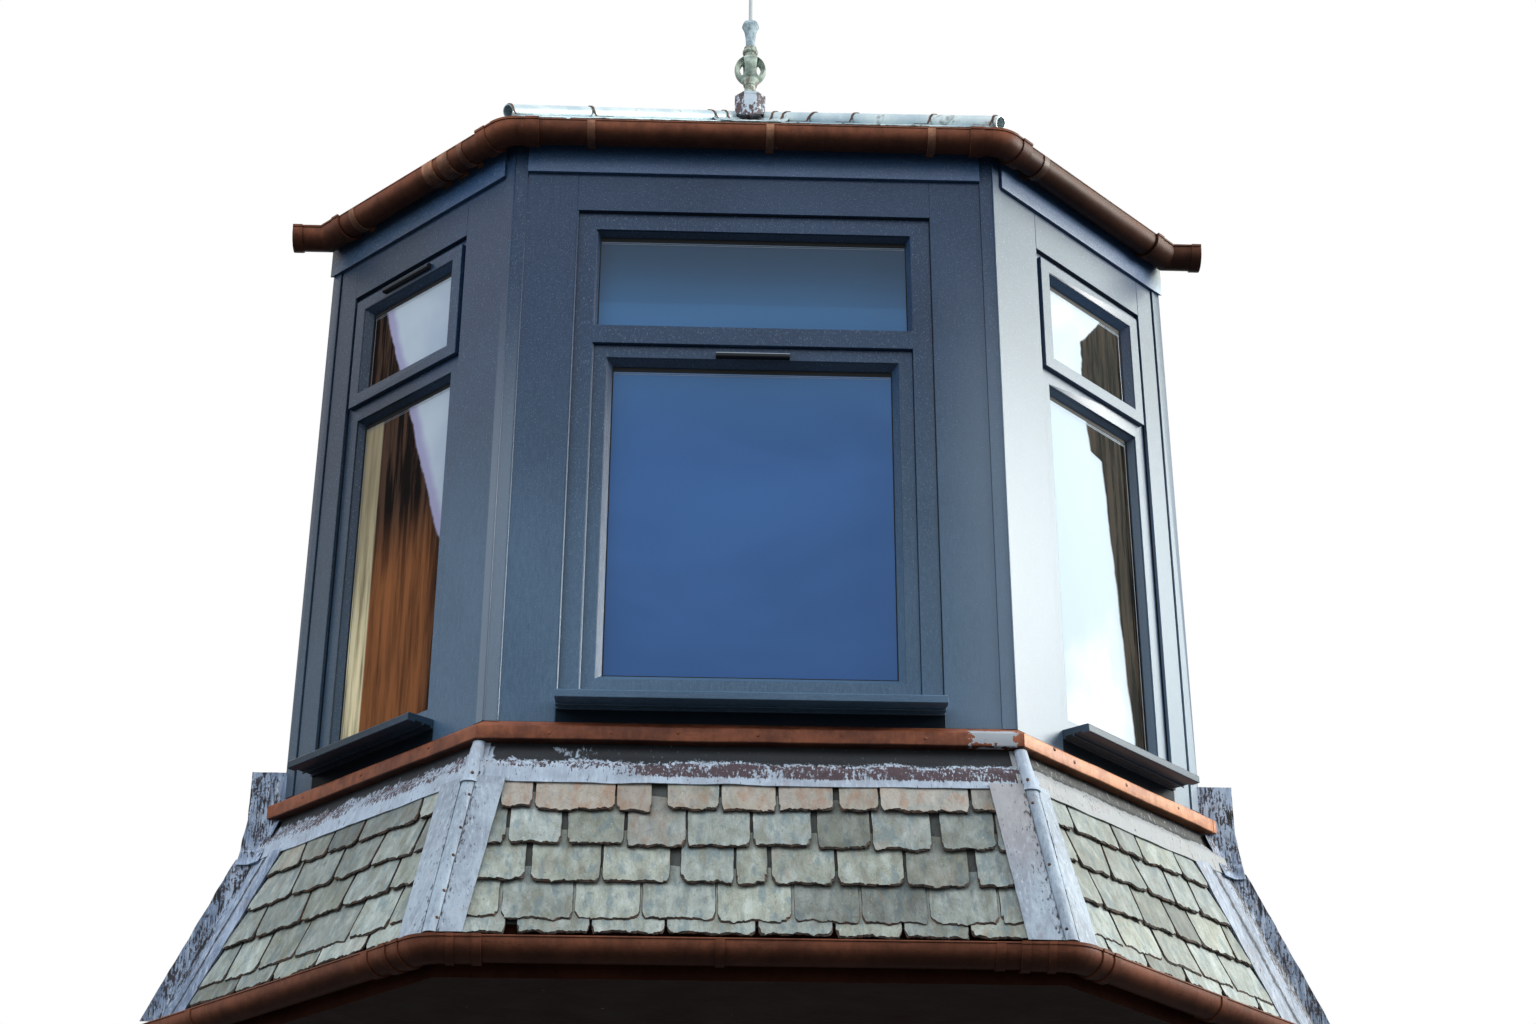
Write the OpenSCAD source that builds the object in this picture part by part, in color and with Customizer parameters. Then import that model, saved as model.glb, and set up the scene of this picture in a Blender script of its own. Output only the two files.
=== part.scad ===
// Bay window of an upper storey: a half octagon of framed windows over a slated skirt,
// with a hipped roof, gutters above and below, and a finial.
// The origin is on the wall plane, on the centre line, at the back face of the floor platform.
// X runs along the wall, Y into the building and Z up.

/* [Plan] */
// Half of the front face, between the corner and the centre line
front_half = 800; // [700:10:900]
// How far the front face stands out from the wall
projection = 677; // [600:1:760]

/* [Heights] */
// Top of the drip moulding, where the wall cladding starts
mould_top = 780; // [760:5:800]
// Underside of the window frames, above the drip moulding
sill_rise = 73; // [60:1:90]
// Height of a window frame
frame_h = 1771; // [1700:1:1850]
// Height of the panel over a window frame
head_panel_h = 144; // [120:1:170]
// Height of the fascia board that carries the upper gutter
fascia_h = 140; // [120:1:160]
// Apex of the roof above the drip moulding
apex_rise = 2700; // [2690:5:2900]

/* [Cladding] */
// Width of the panel beside the front window
front_jamb_w = 171; // [150:1:190]
// Width of one face of a corner post cover
post_face = 42; // [36:1:50]
// Width of the panel beside a side window, next to the corner post
side_jamb_w = 194; // [170:1:210]
// Width of a side window frame
side_frame_w = 590; // [560:1:610]
// Width of the strip beyond a side window
end_strip_w = 88; // [70:1:100]
// Thickness of the cladding panels
panel_t = 12; // [8:1:16]
// How far the window frames lie behind the face of the panels
frame_recess = 15; // [10:1:20]
// Depth of a window frame, front to back
frame_depth = 70; // [60:1:80]

/* [Gutters] */
// Outer radius of the gutter
gutter_r = 48; // [46:1:52]
// Straight part of the gutter above its round bottom
gutter_lip = 15; // [10:1:20]
// Wall thickness of the gutter
gutter_t = 4; // [3:0.5:5]
// Level of the upper gutter's rim above the drip moulding
gutter_top_rise = 2130; // [2120:1:2140]
// Level of the lower gutter's rim
gutter_low_z = 21; // [15:1:30]

/* [Skirt] */
// Outward lean of the slated skirt, per unit of height
skirt_lean = 0.3257; // [0.3:0.0001:0.35]
// Outer face of the slates where the skirt starts, out from the cladding
skirt_start = 18; // [12:1:24]
// Height of the skirt
skirt_h = 627; // [600:1:640]
// Thickness that the slates take on the skirt boards
slate_bed = 12; // [10:1:16]

/* [Hidden] */

$fn = 48;
cant = 45;
mitre = tan(cant / 2);
wall_skew = 1 / sin(cant);
wall_half = front_half + projection * tan(90 - cant);
side_len = projection / sin(cant);

frame_z = mould_top + sill_rise;
frame_top = frame_z + frame_h;
fascia_z = frame_top + head_panel_h;
fascia_top = fascia_z + fascia_h;
apex_z = mould_top + apex_rise;
frame_half = front_half - post_face - front_jamb_w;
side_frame_s = post_face + side_jamb_w;
side_frame_mid = side_frame_s + side_frame_w / 2;
end_strip_s = side_frame_s + side_frame_w;
trim_s = end_strip_s + end_strip_w + 4;
frame_back = frame_recess + frame_depth;

floor_top = 80;
soffit_z = -70;
soffit_t = 12;
mould_h = 73;
skirt_top = mould_top - mould_h;
skirt_foot = skirt_top - skirt_h;
lower_fascia_q = 193;
lower_fascia_t = 20;
upper_fascia_q = 13;
gutter_gap = 5;
upper_gutter_q = upper_fascia_q + gutter_gap + gutter_r;
lower_gutter_q = lower_fascia_q + gutter_gap + gutter_r;
upper_gutter_z = mould_top + gutter_top_rise - gutter_lip;
lower_gutter_z = gutter_low_z - gutter_lip;
roof_edge_q = 60;
roof_edge_z = mould_top + gutter_top_rise + 32;
roof_t = 40;
front_pitch = (apex_z - roof_edge_z) / (projection + roof_edge_q);
side_pitch = (apex_z - roof_edge_z) / (wall_half * sin(cant) + roof_edge_q);
far = 2500;

// Plan places and cutting wedges. An offset q is measured outward from the face of the cladding.

// The corner between the front and a side, on the line that is offset by q
function corner(q) = [front_half + q * mitre, -projection - q];

// The end of a side at the wall, on the line that is offset by q
function wall_end(q) = [wall_half + q * wall_skew, 0];

// The outer face of the slates at height z
function skirt_q(z) = skirt_start + (skirt_top - z) * skirt_lean;

function flip(p) = [-p[0], p[1]];

module at_front() { translate([0, -projection, 0]) children(); }

module at_right() { translate([front_half, -projection, 0]) rotate([0, 0, cant]) children(); }

module both_sides() {
    at_right() children();
    mirror([1, 0, 0]) at_right() children();
}

module mirrored() {
    children();
    mirror([1, 0, 0]) children();
}

module tall(outline) { translate([0, 0, -far]) linear_extrude(3 * far) polygon(outline); }

module front_wedge(inner, outer) {
    tall([corner(-inner), corner(outer), flip(corner(outer)), flip(corner(-inner))]);
}

module right_wedge(inner, outer) {
    tall([corner(-inner), corner(outer), wall_end(outer), wall_end(-inner)]);
}

// A profile of outward and upward measures, drawn along its facet
module along(length) { rotate([90, 0, -90]) linear_extrude(length, center = true) children(); }

module front_run(inner = 400, outer = 500) {
    intersection() {
        at_front() along(2 * far) children();
        front_wedge(inner, outer);
    }
}

module right_run(inner = 400, outer = 500) {
    intersection() {
        at_right() along(2 * far) children();
        right_wedge(inner, outer);
    }
}

module side_runs(inner = 400, outer = 500) { mirrored() right_run(inner, outer) children(); }

// A box on a facet: from s0 to s1 along it, from q0 to q1 outward, from z0 to z1
module facet_box(s0, s1, q0, q1, z0, z1) {
    translate([s0, -q1, z0]) cube([s1 - s0, q1 - q0, z1 - z0]);
}

// A piece that is drawn flat, with its height along Y and its face up, stood on its facet
module stand() { rotate([90, 0, 0]) children(); }

// A rod between two points
module strut(p1, p2, r) {
    d = p2 - p1;
    translate(p1) rotate([0, acos(d[2] / norm(d)), atan2(d[1], d[0])]) cylinder(h = norm(d), r = r);
}

// Mitred bars round a rectangle. The profile has its inward measure first and its outward one second.

module mitred_bar(length, reach) {
    intersection() {
        rotate([90, 0, 90]) linear_extrude(length, center = true) children();
        translate([0, 0, -far]) linear_extrude(2 * far)
            polygon([[-length / 2, 0], [length / 2, 0], [length / 2 - reach, reach],
                [reach - length / 2, reach]]);
    }
}

module mitred_ring(w, h, reach) {
    for (turn = [0, 180]) rotate(turn) translate([0, -h / 2, 0]) mitred_bar(w, reach) children();
    for (turn = [90, 270]) rotate(turn) translate([0, -w / 2, 0]) mitred_bar(h, reach) children();
}

// Floor, spandrel walls and skirt

module floor_platform() {
    q = lower_fascia_q - lower_fascia_t;
    color("burlywood") translate([0, 0, soffit_z + soffit_t])
        linear_extrude(floor_top - soffit_z - soffit_t)
            polygon([corner(q), wall_end(q), flip(wall_end(q)), flip(corner(q))]);
}

module soffit_board() {
    q = lower_fascia_q - lower_fascia_t;
    color("saddlebrown") translate([0, 0, soffit_z]) linear_extrude(soffit_t)
        polygon([corner(q), wall_end(q), flip(wall_end(q)), flip(corner(q))]);
}

module spandrel_profile() {
    polygon([[-frame_back, floor_top], [-panel_t, floor_top], [-panel_t, frame_z - sill_t],
        [-frame_back, frame_z - sill_t]]);
}

module front_spandrel() { color("wheat") front_run() spandrel_profile(); }

module side_spandrels() { color("wheat") side_runs() spandrel_profile(); }

module skirt_profile() {
    board = 38;
    inner_z = skirt_top - (board + slate_bed - skirt_start - panel_t) / skirt_lean;
    polygon([[-panel_t, skirt_top], [skirt_q(skirt_top) - slate_bed, skirt_top],
        [skirt_q(skirt_foot) - slate_bed, skirt_foot],
        [skirt_q(skirt_foot) - slate_bed - board, skirt_foot], [-panel_t, inner_z]]);
}

module front_skirt() { color("darkseagreen") front_run() skirt_profile(); }

module side_skirts() { color("darkseagreen") side_runs() skirt_profile(); }

module lower_fascia_profile() {
    polygon([[lower_fascia_q - lower_fascia_t, soffit_z], [lower_fascia_q, soffit_z],
        [lower_fascia_q, floor_top], [lower_fascia_q - lower_fascia_t, floor_top]]);
}

module front_lower_fascia() { color("saddlebrown") front_run() lower_fascia_profile(); }

module side_lower_fascias() { color("saddlebrown") side_runs() lower_fascia_profile(); }

// Drip moulding and lead work

mould_out = 43;

module moulding_profile() {
    nose = 5;
    translate([0, mould_top - mould_h]) difference() {
        union() {
            polygon([[-panel_t, 0], [mould_out - nose, 0], [mould_out, nose],
                [mould_out, mould_h - 26 - nose], [mould_out - nose, mould_h - 22],
                [0, mould_h], [-panel_t, mould_h]]);
            translate([mould_out - nose, nose]) circle(nose);
            translate([mould_out - nose, mould_h - 26 - nose]) circle(nose);
        }
        translate([mould_out - 16, 0]) circle(4);
    }
}

module front_drip_moulding() { color("sienna") front_run() moulding_profile(); }

module side_drip_mouldings() {
    joint = 1.5;
    joint_s = side_len - 23;
    color("sienna") mirrored() difference() {
        right_run() moulding_profile();
        right_slab(joint_s, joint_s + joint);
    }
}

apron_h = 145;
lead_lift = 3;
lead_t = 4;

// A sheet that lies on the skirt between two heights
module skirt_sheet_profile(top, foot) {
    polygon([[skirt_q(top) - slate_bed, top], [skirt_q(top) + lead_lift, top],
        [skirt_q(foot) + lead_lift, foot], [skirt_q(foot) - slate_bed, foot]]);
}

apron_foot = skirt_top - apron_h;

// The apron lies on the boards at its top and swells over the heads of the slates lower down
module apron_profile() {
    hollow = skirt_top - 46;
    swell = skirt_top - 72;
    polygon([[skirt_q(skirt_top) - slate_bed, skirt_top],
        [skirt_q(skirt_top) - slate_bed + lead_t, skirt_top],
        [skirt_q(hollow) - slate_bed + lead_t, hollow], [skirt_q(hollow - 14) - 4, hollow - 14],
        [skirt_q(swell) + lead_lift - 1, swell], [skirt_q(swell - 14) + lead_lift, swell - 14],
        [skirt_q(apron_foot) + lead_lift, apron_foot], [skirt_q(apron_foot) - slate_bed, apron_foot]]);
}

module front_lead_apron() { color("slategray") front_run() apron_profile(); }

module side_lead_aprons() { color("slategray") side_runs() apron_profile(); }

hip_wing = 120;
hip_foot = skirt_foot - 20;
hip_roll_r = 22;

// The band of a facet beside its corner, under the roll; the corner is at s = 0 and side is 1 or -1
module hip_band(side, width) {
    under_roll = 6;
    top_s = -side * skirt_q(apron_foot) * mitre;
    foot_s = -side * skirt_q(hip_foot) * mitre;
    stand() translate([0, 0, -far]) linear_extrude(2 * far)
        polygon([[top_s + side * under_roll, apron_foot], [foot_s + side * under_roll, hip_foot],
            [foot_s + side * width, hip_foot], [top_s + side * width, apron_foot]]);
}

// The space behind the face of the skirt boards on a facet, and a little of the lead on them
module behind_skirt() {
    translate([-far, slate_bed - 1 - skirt_q(skirt_foot), skirt_foot]) rotate([-atan(skirt_lean), 0, 0])
        translate([0, 0, -far / 2]) cube([2 * far, 400, far]);
}

module lead_hip() {
    over = 60;
    c1 = corner(skirt_q(apron_foot + over) - 4);
    c2 = corner(skirt_q(hip_foot - over) - 4);
    intersection() {
        at_front() along(2 * far) skirt_sheet_profile(apron_foot + over, hip_foot - over);
        translate([front_half, -projection, 0]) hip_band(-1, hip_wing);
    }
    intersection() {
        at_right() along(2 * far) skirt_sheet_profile(apron_foot + over, hip_foot - over);
        at_right() hip_band(1, hip_wing);
    }
    difference() {
        intersection() {
            strut([c1[0], c1[1], apron_foot + over], [c2[0], c2[1], hip_foot - over], hip_roll_r);
            translate([0, -far, hip_foot]) cube([far, far, apron_foot - hip_foot]);
        }
        at_front() behind_skirt();
        at_right() behind_skirt();
    }
}

module lead_hips() { color("lightslategray") mirrored() lead_hip(); }

abutment_w = 130;
upstand_w = 46;

module lead_abutment() {
    top = mould_top + 90;
    x0 = wall_end(mould_out)[0] + 2;
    x_top = wall_end(skirt_q(skirt_top) + lead_lift)[0] + 3;
    x1 = wall_end(skirt_q(apron_foot) + lead_lift)[0];
    x2 = wall_end(skirt_q(hip_foot) + lead_lift)[0];
    intersection() {
        at_right() along(2 * far) skirt_sheet_profile(apron_foot, hip_foot);
        rotate([90, 0, 0]) translate([0, 0, lead_t / 2]) linear_extrude(far)
            polygon([[x1 - abutment_w, apron_foot], [x2 - abutment_w, hip_foot],
                [x2 + 60, hip_foot], [x1 + 60, apron_foot]]);
    }
    rotate([90, 0, 0]) linear_extrude(lead_t)
        polygon([[x1 - 12, apron_foot - 4], [x2 - 12, hip_foot - 6], [x2 + upstand_w, hip_foot - 6],
            [x1 + upstand_w, apron_foot], [x0 + upstand_w + 8, skirt_top + 20],
            [x0 + upstand_w + 8, top], [x0, top], [x0, skirt_top], [x_top, skirt_top],
            [x1 + 3, apron_foot], [x1 + 3, apron_foot - 4]]);
}

module lead_abutments() { color("lightslategray") mirrored() lead_abutment(); }

// Gutters

// The channel's outline, grown by a margin, round the middle of its bottom curve
module channel(grow, rise) {
    r = gutter_r + grow;
    intersection() {
        union() {
            circle(r);
            translate([-r, 0]) square(2 * r);
        }
        translate([-2 * r, -2 * r]) square([4 * r, 2 * r + rise]);
    }
}

module channel_wall(inner, outer) {
    difference() {
        channel(outer, gutter_lip);
        channel(inner, gutter_lip + 10);
    }
}

module gutter_profile() {
    channel_wall(-gutter_t, 0);
    translate([gutter_r - 2, gutter_lip - 2]) circle(4);
}

// Fittings are thinner at the back, where the fascia is near
module thin_back(wall) {
    intersection() {
        children();
        translate([-gutter_r - wall, -2 * gutter_r]) square(4 * gutter_r);
    }
}

module angle_profile() {
    thin_back(2.4) channel_wall(0.5, 4.5);
    translate([gutter_r + 1, gutter_lip - 6]) square([7, 7]);
}

module bend_profile() {
    thin_back(3.2) channel_wall(-0.5, 5.5);
    translate([gutter_r + 1, gutter_lip - 7]) square([8, 9]);
}

module socket_profile() {
    thin_back(4.5) channel_wall(3, 9);
    translate([gutter_r + 4, gutter_lip - 8]) square([8, 9]);
}

// How far the arms of an external angle reach, along the front and along the side
lower_reach = [122, 104];
upper_reach = [72, 72];
lower_socket = 26;
upper_socket = 46;
wall_socket = 34;
band_s = 38;
band_w = 22;
joint_lap = 42;
bend_inside = 20;

// A band of the right side between two distances from its corner
module right_slab(s0, s1) { at_right() translate([s0, -far, -far]) cube([s1 - s0, 2 * far, 3 * far]); }

// A straight arm toward -X that ends in a raised socket
module angle_arm(length, socket) {
    mouth = 3;
    translate([-length / 2, 0, 0]) along(length) angle_profile();
    translate([socket / 2 - mouth - length, 0, 0]) along(socket) socket_profile();
}

// One external angle: a bend round a point inside the corner of the fascia, with an arm at each end
// that starts a little inside the bend's thicker wall
module gutter_angle(fascia, z, reach, socket) {
    start = 3;
    off = bend_inside + gutter_gap + gutter_r;
    turn = corner(fascia - bend_inside);
    translate([turn[0], turn[1], z]) {
        rotate(-90) rotate_extrude(angle = cant) translate([off, 0]) bend_profile();
        translate([start, -off, 0]) angle_arm(reach[0] + start, socket);
        rotate(cant) translate([-start, -off, 0]) mirror([1, 0, 0])
            angle_arm(reach[1] + start, socket);
    }
}

// The raised bands that the lower angles have beside their bend
module angle_bands(fascia, z) {
    off = bend_inside + gutter_gap + gutter_r;
    turn = corner(fascia - bend_inside);
    translate([turn[0], turn[1], z]) {
        translate([-band_s, -off, 0]) along(band_w) socket_profile();
        rotate(cant) translate([band_s, -off, 0]) along(band_w) socket_profile();
    }
}

module gutter_front(fascia, z, reach) {
    at_front() along(2 * (corner(fascia - bend_inside)[0] - reach[0] + joint_lap))
        translate([fascia + gutter_gap + gutter_r, z]) gutter_profile();
}

module gutter_right(fascia, z, reach, far_end) {
    q = fascia + gutter_gap + gutter_r;
    start = (bend_inside - fascia) * mitre + reach[1] - joint_lap;
    intersection() {
        right_run() translate([q, z]) gutter_profile();
        right_slab(start, far_end);
    }
}

module strap_profile() {
    thin_back(2.4) difference() {
        channel(4.5, gutter_lip - 5);
        channel(0.5, gutter_lip + 10);
    }
    translate([-gutter_r - gutter_gap, -34]) square([gutter_gap - 1.5, 34 + gutter_lip - 6]);
}

strap_w = 26;
union_w = 52;

module front_strap(x, q, z) {
    at_front() translate([x, 0, 0]) along(strap_w) translate([q, z]) strap_profile();
}

module right_strap(s, q, z, w = strap_w) {
    at_right() translate([s, 0, 0]) along(w) translate([q, z]) strap_profile();
}

module lower_gutter_front() {
    color("saddlebrown") gutter_front(lower_fascia_q, lower_gutter_z, lower_reach);
}

module lower_gutter_sides() {
    color("saddlebrown") mirrored()
        gutter_right(lower_fascia_q, lower_gutter_z, lower_reach, far);
}

module lower_gutter_angles() {
    color("saddlebrown") mirrored() {
        gutter_angle(lower_fascia_q, lower_gutter_z, lower_reach, lower_socket);
        angle_bands(lower_fascia_q, lower_gutter_z);
    }
}

module lower_gutter_straps() {
    color("saddlebrown") {
        for (x = [-89, 690]) front_strap(x, lower_gutter_q, lower_gutter_z);
        for (s = [560, 1040]) right_strap(s, lower_gutter_q, lower_gutter_z);
        mirror([1, 0, 0]) for (s = [106, 936]) right_strap(s, lower_gutter_q, lower_gutter_z);
    }
}

module upper_gutter_front() {
    color("saddlebrown") gutter_front(upper_fascia_q, upper_gutter_z, upper_reach);
}

wall_angle_arm = 118;
wall_angle_s = side_len - upper_gutter_q * mitre;

module upper_gutter_sides() {
    color("saddlebrown") mirrored() gutter_right(upper_fascia_q, upper_gutter_z, upper_reach,
        wall_angle_s - wall_angle_arm + joint_lap);
}

module upper_gutter_angles() {
    color("saddlebrown") mirrored()
        gutter_angle(upper_fascia_q, upper_gutter_z, upper_reach, upper_socket);
}

// The internal angle, where the gutter turns to run along the house wall
module gutter_wall_angle(q, z) {
    turn = [wall_half + q * mitre, -q];
    bend = [turn + 400 * [mitre, -1], turn + 400 * [-mitre, 1]];
    intersection() {
        at_right() along(2 * far) translate([q, z]) angle_profile();
        right_slab(wall_angle_s - wall_angle_arm, side_len + 200);
        tall([bend[0], bend[1], bend[1] + [-900, 0], bend[0] + [-900, 0]]);
    }
    at_right() translate([wall_angle_s - wall_angle_arm + wall_socket / 2 - 3, 0, 0])
        along(wall_socket) translate([q, z]) socket_profile();
    intersection() {
        along(2 * far) translate([q, z]) angle_profile();
        translate([-far, -far, -far]) cube([far + turn[0] + wall_angle_arm, 2 * far, 3 * far]);
        tall([bend[0], bend[1], bend[1] + [900, 0], bend[0] + [900, 0]]);
    }
    translate([turn[0] + wall_angle_arm - wall_socket / 2 + 3, 0, 0]) along(wall_socket)
        translate([q, z]) socket_profile();
}

module upper_gutter_wall_angles() {
    color("saddlebrown") mirrored() gutter_wall_angle(upper_gutter_q, upper_gutter_z);
}

module upper_gutter_straps() {
    color("saddlebrown") {
        for (x = [-548, 50, 592]) front_strap(x, upper_gutter_q, upper_gutter_z);
        right_strap(165, upper_gutter_q, upper_gutter_z);
        mirror([1, 0, 0]) {
            for (s = [167, 740]) right_strap(s, upper_gutter_q, upper_gutter_z);
            for (s = [255, 332]) right_strap(s, upper_gutter_q, upper_gutter_z, union_w);
        }
    }
}

// Studs, panels and trims of the window stage

// The plan of a corner piece that follows both faces: from q0 to q1, reaching s1 and s2
module corner_plan(q0, q1, reach_front, reach_side) {
    intersection() {
        front_corner_area(q0, q1, reach_front);
        polygon([corner(-900), corner(900), corner(900) - [3000, 0], corner(-900) - [3000, 0]]);
    }
    intersection() {
        side_corner_area(q0, q1, reach_side);
        polygon([corner(-900), corner(900), corner(900) + [3000, 0], corner(-900) + [3000, 0]]);
    }
}

module front_corner_area(q0, q1, reach) {
    translate([front_half - reach, -projection - q1]) square([reach + 300, q1 - q0]);
}

module side_corner_area(q0, q1, reach) {
    translate([front_half, -projection]) rotate(cant) translate([-300, -q1])
        square([reach + 300, q1 - q0]);
}

module corner_column(q0, q1, reach_front, reach_side, z0, z1) {
    translate([0, 0, z0]) linear_extrude(z1 - z0) corner_plan(q0, q1, reach_front, reach_side);
}

module corner_studs() {
    color("burlywood") mirrored() corner_column(-frame_back, -panel_t, front_half - frame_half,
        side_frame_s, frame_z - sill_t, frame_top);
}

module wall_studs() {
    color("burlywood") mirrored() intersection() {
        at_right() facet_box(end_strip_s, side_len + 400, -frame_back, -panel_t, frame_z - sill_t,
            frame_top);
        right_wedge(400, 400);
    }
}

post_proud = 4;
bead_r = 3;

module corner_post_covers() {
    color("slategray") mirrored() {
        corner_column(-panel_t, post_proud, post_face, post_face, mould_top, fascia_top);
        translate([corner(post_proud)[0], corner(post_proud)[1], mould_top])
            cylinder(h = fascia_top - mould_top, r = bead_r);
    }
}

module front_jamb_panels() {
    color("darkslategray") at_front() mirrored()
        facet_box(frame_half, front_half - post_face, -panel_t, 0, mould_top, fascia_z);
}

module side_jamb_panels() {
    color("darkslategray") both_sides()
        facet_box(post_face, side_frame_s, -panel_t, 0, mould_top, fascia_z);
}

module front_head_panel() {
    color("darkslategray") at_front()
        facet_box(-frame_half, frame_half, -panel_t, 0, frame_top, fascia_z);
}

module side_head_panels() {
    color("darkslategray") both_sides()
        facet_box(side_frame_s, end_strip_s, -panel_t, 0, frame_top, fascia_z);
}

module front_foot_panel() {
    color("darkslategray") at_front()
        facet_box(-frame_half, frame_half, -panel_t, 0, mould_top, frame_z - sill_t);
}

module side_foot_panels() {
    color("darkslategray") both_sides()
        facet_box(side_frame_s, end_strip_s, -panel_t, 0, mould_top, frame_z - sill_t);
}

module end_strips() {
    color("darkslategray") both_sides()
        facet_box(end_strip_s, end_strip_s + end_strip_w, -panel_t, 0, mould_top, fascia_z);
}

trim_proud = 5;

module wall_trims() {
    color("slategray") mirrored() intersection() {
        at_right() facet_box(trim_s, side_len + 400, -panel_t, trim_proud, mould_top, fascia_z);
        right_wedge(400, 400);
    }
}

// Windows, drawn flat and stood on their facets

bead_w = 12;
sash_bevel = 20;
glass_t = 24;
glass_back = 28;
frame_side = 66;
frame_foot = 38;
transom_z = 1267;
transom_w = 68;
sash_recess = 14;

// A sloping bead round a pane, from the edge of its opening inward
module bead_profile(w, lip, depth) {
    polygon([[0, -lip], [w, -depth], [w, -depth - glass_t], [0, -depth - glass_t]]);
}

module bead_ring(w, h, bead, lip, depth) {
    mitred_ring(w, h, 4 * bead) bead_profile(bead, lip, depth);
}

// A frame with a lower and an upper opening, from the middle of its foot, face at Z = 0
module two_light_frame(w, h, side, foot, low_top, high_foot, top) {
    difference() {
        translate([-w / 2, 0, -frame_depth]) cube([w, h, frame_depth]);
        translate([side - w / 2, foot, -far]) cube([w - 2 * side, low_top - foot, 2 * far]);
        translate([side - w / 2, high_foot, -far]) cube([w - 2 * side, h - top - high_foot, 2 * far]);
    }
}

module in_front_opening() { at_front() translate([0, frame_recess, frame_z]) stand() children(); }

module in_side_openings() {
    both_sides() translate([side_frame_mid, frame_recess, frame_z]) stand() children();
}

front_light_w = 2 * (frame_half - frame_side);
top_light_foot = transom_z + transom_w;
top_light_h = frame_h - frame_side - top_light_foot;
sash_h = transom_z - frame_foot;

module front_window_frame() {
    chamfer = 7;
    color("darkslategray") in_front_opening() {
        two_light_frame(2 * frame_half, frame_h, frame_side, frame_foot, transom_z, top_light_foot,
            frame_side);
        translate([0, top_light_foot + top_light_h / 2, 0])
            bead_ring(front_light_w, top_light_h, bead_w, chamfer, glass_back);
    }
}

module sash(w, h, thickness, rail, bevel) {
    difference() {
        translate([-w / 2, 0, -thickness]) cube([w, h, thickness]);
        translate([rail - w / 2, rail, -far]) cube([w - 2 * rail, h - 2 * rail, 2 * far]);
    }
    translate([0, h / 2, 0])
        bead_ring(w - 2 * rail, h - 2 * rail, bevel, 3, glass_back);
}

sash_rail = 46;
sash_gap = 1;

module front_sash() {
    color("darkslategray") in_front_opening() translate([0, frame_foot + sash_gap, -sash_recess])
        sash(front_light_w - 2 * sash_gap, sash_h - 2 * sash_gap, 56, sash_rail, sash_bevel);
}

side_light_w = side_frame_w - 104;
side_rail = 52;
side_transom_z = 1260;
side_sash_foot = 1314;
side_sash_w = 556;
side_sash_h = 430;
side_sash_proud = 18;
side_top_foot = side_sash_foot + 28;
side_top_h = side_sash_h - 56;

module side_window_frames() {
    color("darkslategray") in_side_openings() {
        two_light_frame(side_frame_w, frame_h, side_rail, side_rail, side_transom_z, side_top_foot,
            frame_h - side_top_foot - side_top_h);
        translate([0, (side_rail + side_transom_z) / 2, 0])
            bead_ring(side_light_w, side_transom_z - side_rail, bead_w, 7, glass_back);
    }
}

module side_sashes() {
    inner_w = side_light_w - 2;
    color("darkslategray") in_side_openings() {
        translate([0, side_sash_foot, side_sash_proud])
            sash(side_sash_w, side_sash_h, side_sash_proud, sash_rail, sash_bevel);
        difference() {
            translate([-inner_w / 2, side_top_foot + 1, -44]) cube([inner_w, side_top_h - 2, 44]);
            translate([sash_rail - side_sash_w / 2, side_sash_foot + sash_rail, -far])
                cube([side_sash_w - 2 * sash_rail, side_sash_h - 2 * sash_rail, 2 * far]);
        }
    }
}

// A pane that fills the opening inside a bead
module pane(w, h, bead, face) {
    translate([bead - w / 2, bead - h / 2, face - glass_back - glass_t])
        cube([w - 2 * bead, h - 2 * bead, glass_t - 4]);
}

module front_glass() {
    color("steelblue") in_front_opening() {
        translate([0, top_light_foot + top_light_h / 2, 0])
            pane(front_light_w, top_light_h, bead_w, 0);
        translate([0, frame_foot + sash_h / 2, 0])
            pane(front_light_w - 2 * sash_gap - 2 * sash_rail, sash_h - 2 * sash_gap - 2 * sash_rail,
                sash_bevel, -sash_recess);
    }
}

module side_glass() {
    color("lightsteelblue") in_side_openings() {
        translate([0, (side_rail + side_transom_z) / 2, 0])
            pane(side_light_w, side_transom_z - side_rail, bead_w, 0);
        translate([0, side_sash_foot + side_sash_h / 2, 0])
            pane(side_sash_w - 2 * sash_rail, side_sash_h - 2 * sash_rail, sash_bevel,
                side_sash_proud);
    }
}

vent_l = 240;
vent_h = 20;
vent_out = 18;

module trickle_vents() {
    color("black") {
        at_front() translate([0, frame_recess + sash_recess, frame_z + transom_z - 44])
            vent_hood();
        mirror([1, 0, 0]) at_right() translate([side_frame_mid, frame_recess - side_sash_proud,
            frame_z + side_sash_foot + side_sash_h - 32]) vent_hood();
    }
}

// A hood over the slots of a trickle vent
module vent_hood() {
    along(vent_l) polygon([[0, 0], [vent_out - 4, 0], [vent_out, 3], [vent_out, vent_h - 8],
        [vent_out - 5, vent_h - 2], [0, vent_h]]);
}

// Sills and window boards

sill_t = 32;
sill_out = 100;

module sill_profile() {
    groove = 7;
    drip = 34;
    translate([0, frame_z]) difference() {
        polygon([[-frame_back, 0], [-frame_recess, 0], [sill_out - 4, -5], [sill_out, -9],
            [sill_out, 1 - sill_t], [sill_out - 3, -sill_t], [-frame_back, -sill_t]]);
        for (q = [8, 8 + drip]) translate([q, -sill_t - 1]) square([drip - 6, groove + 1]);
    }
}

module front_sill() {
    color("darkslategray") at_front() along(2 * frame_half) sill_profile();
}

module side_sills() {
    color("darkslategray") both_sides() translate([side_frame_mid, 0, 0]) along(side_frame_w)
        sill_profile();
}

board_t = 25;
board_in = 200;

module window_boards() {
    color("white") {
        front_run() window_board_profile();
        side_runs() window_board_profile();
    }
}

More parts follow.
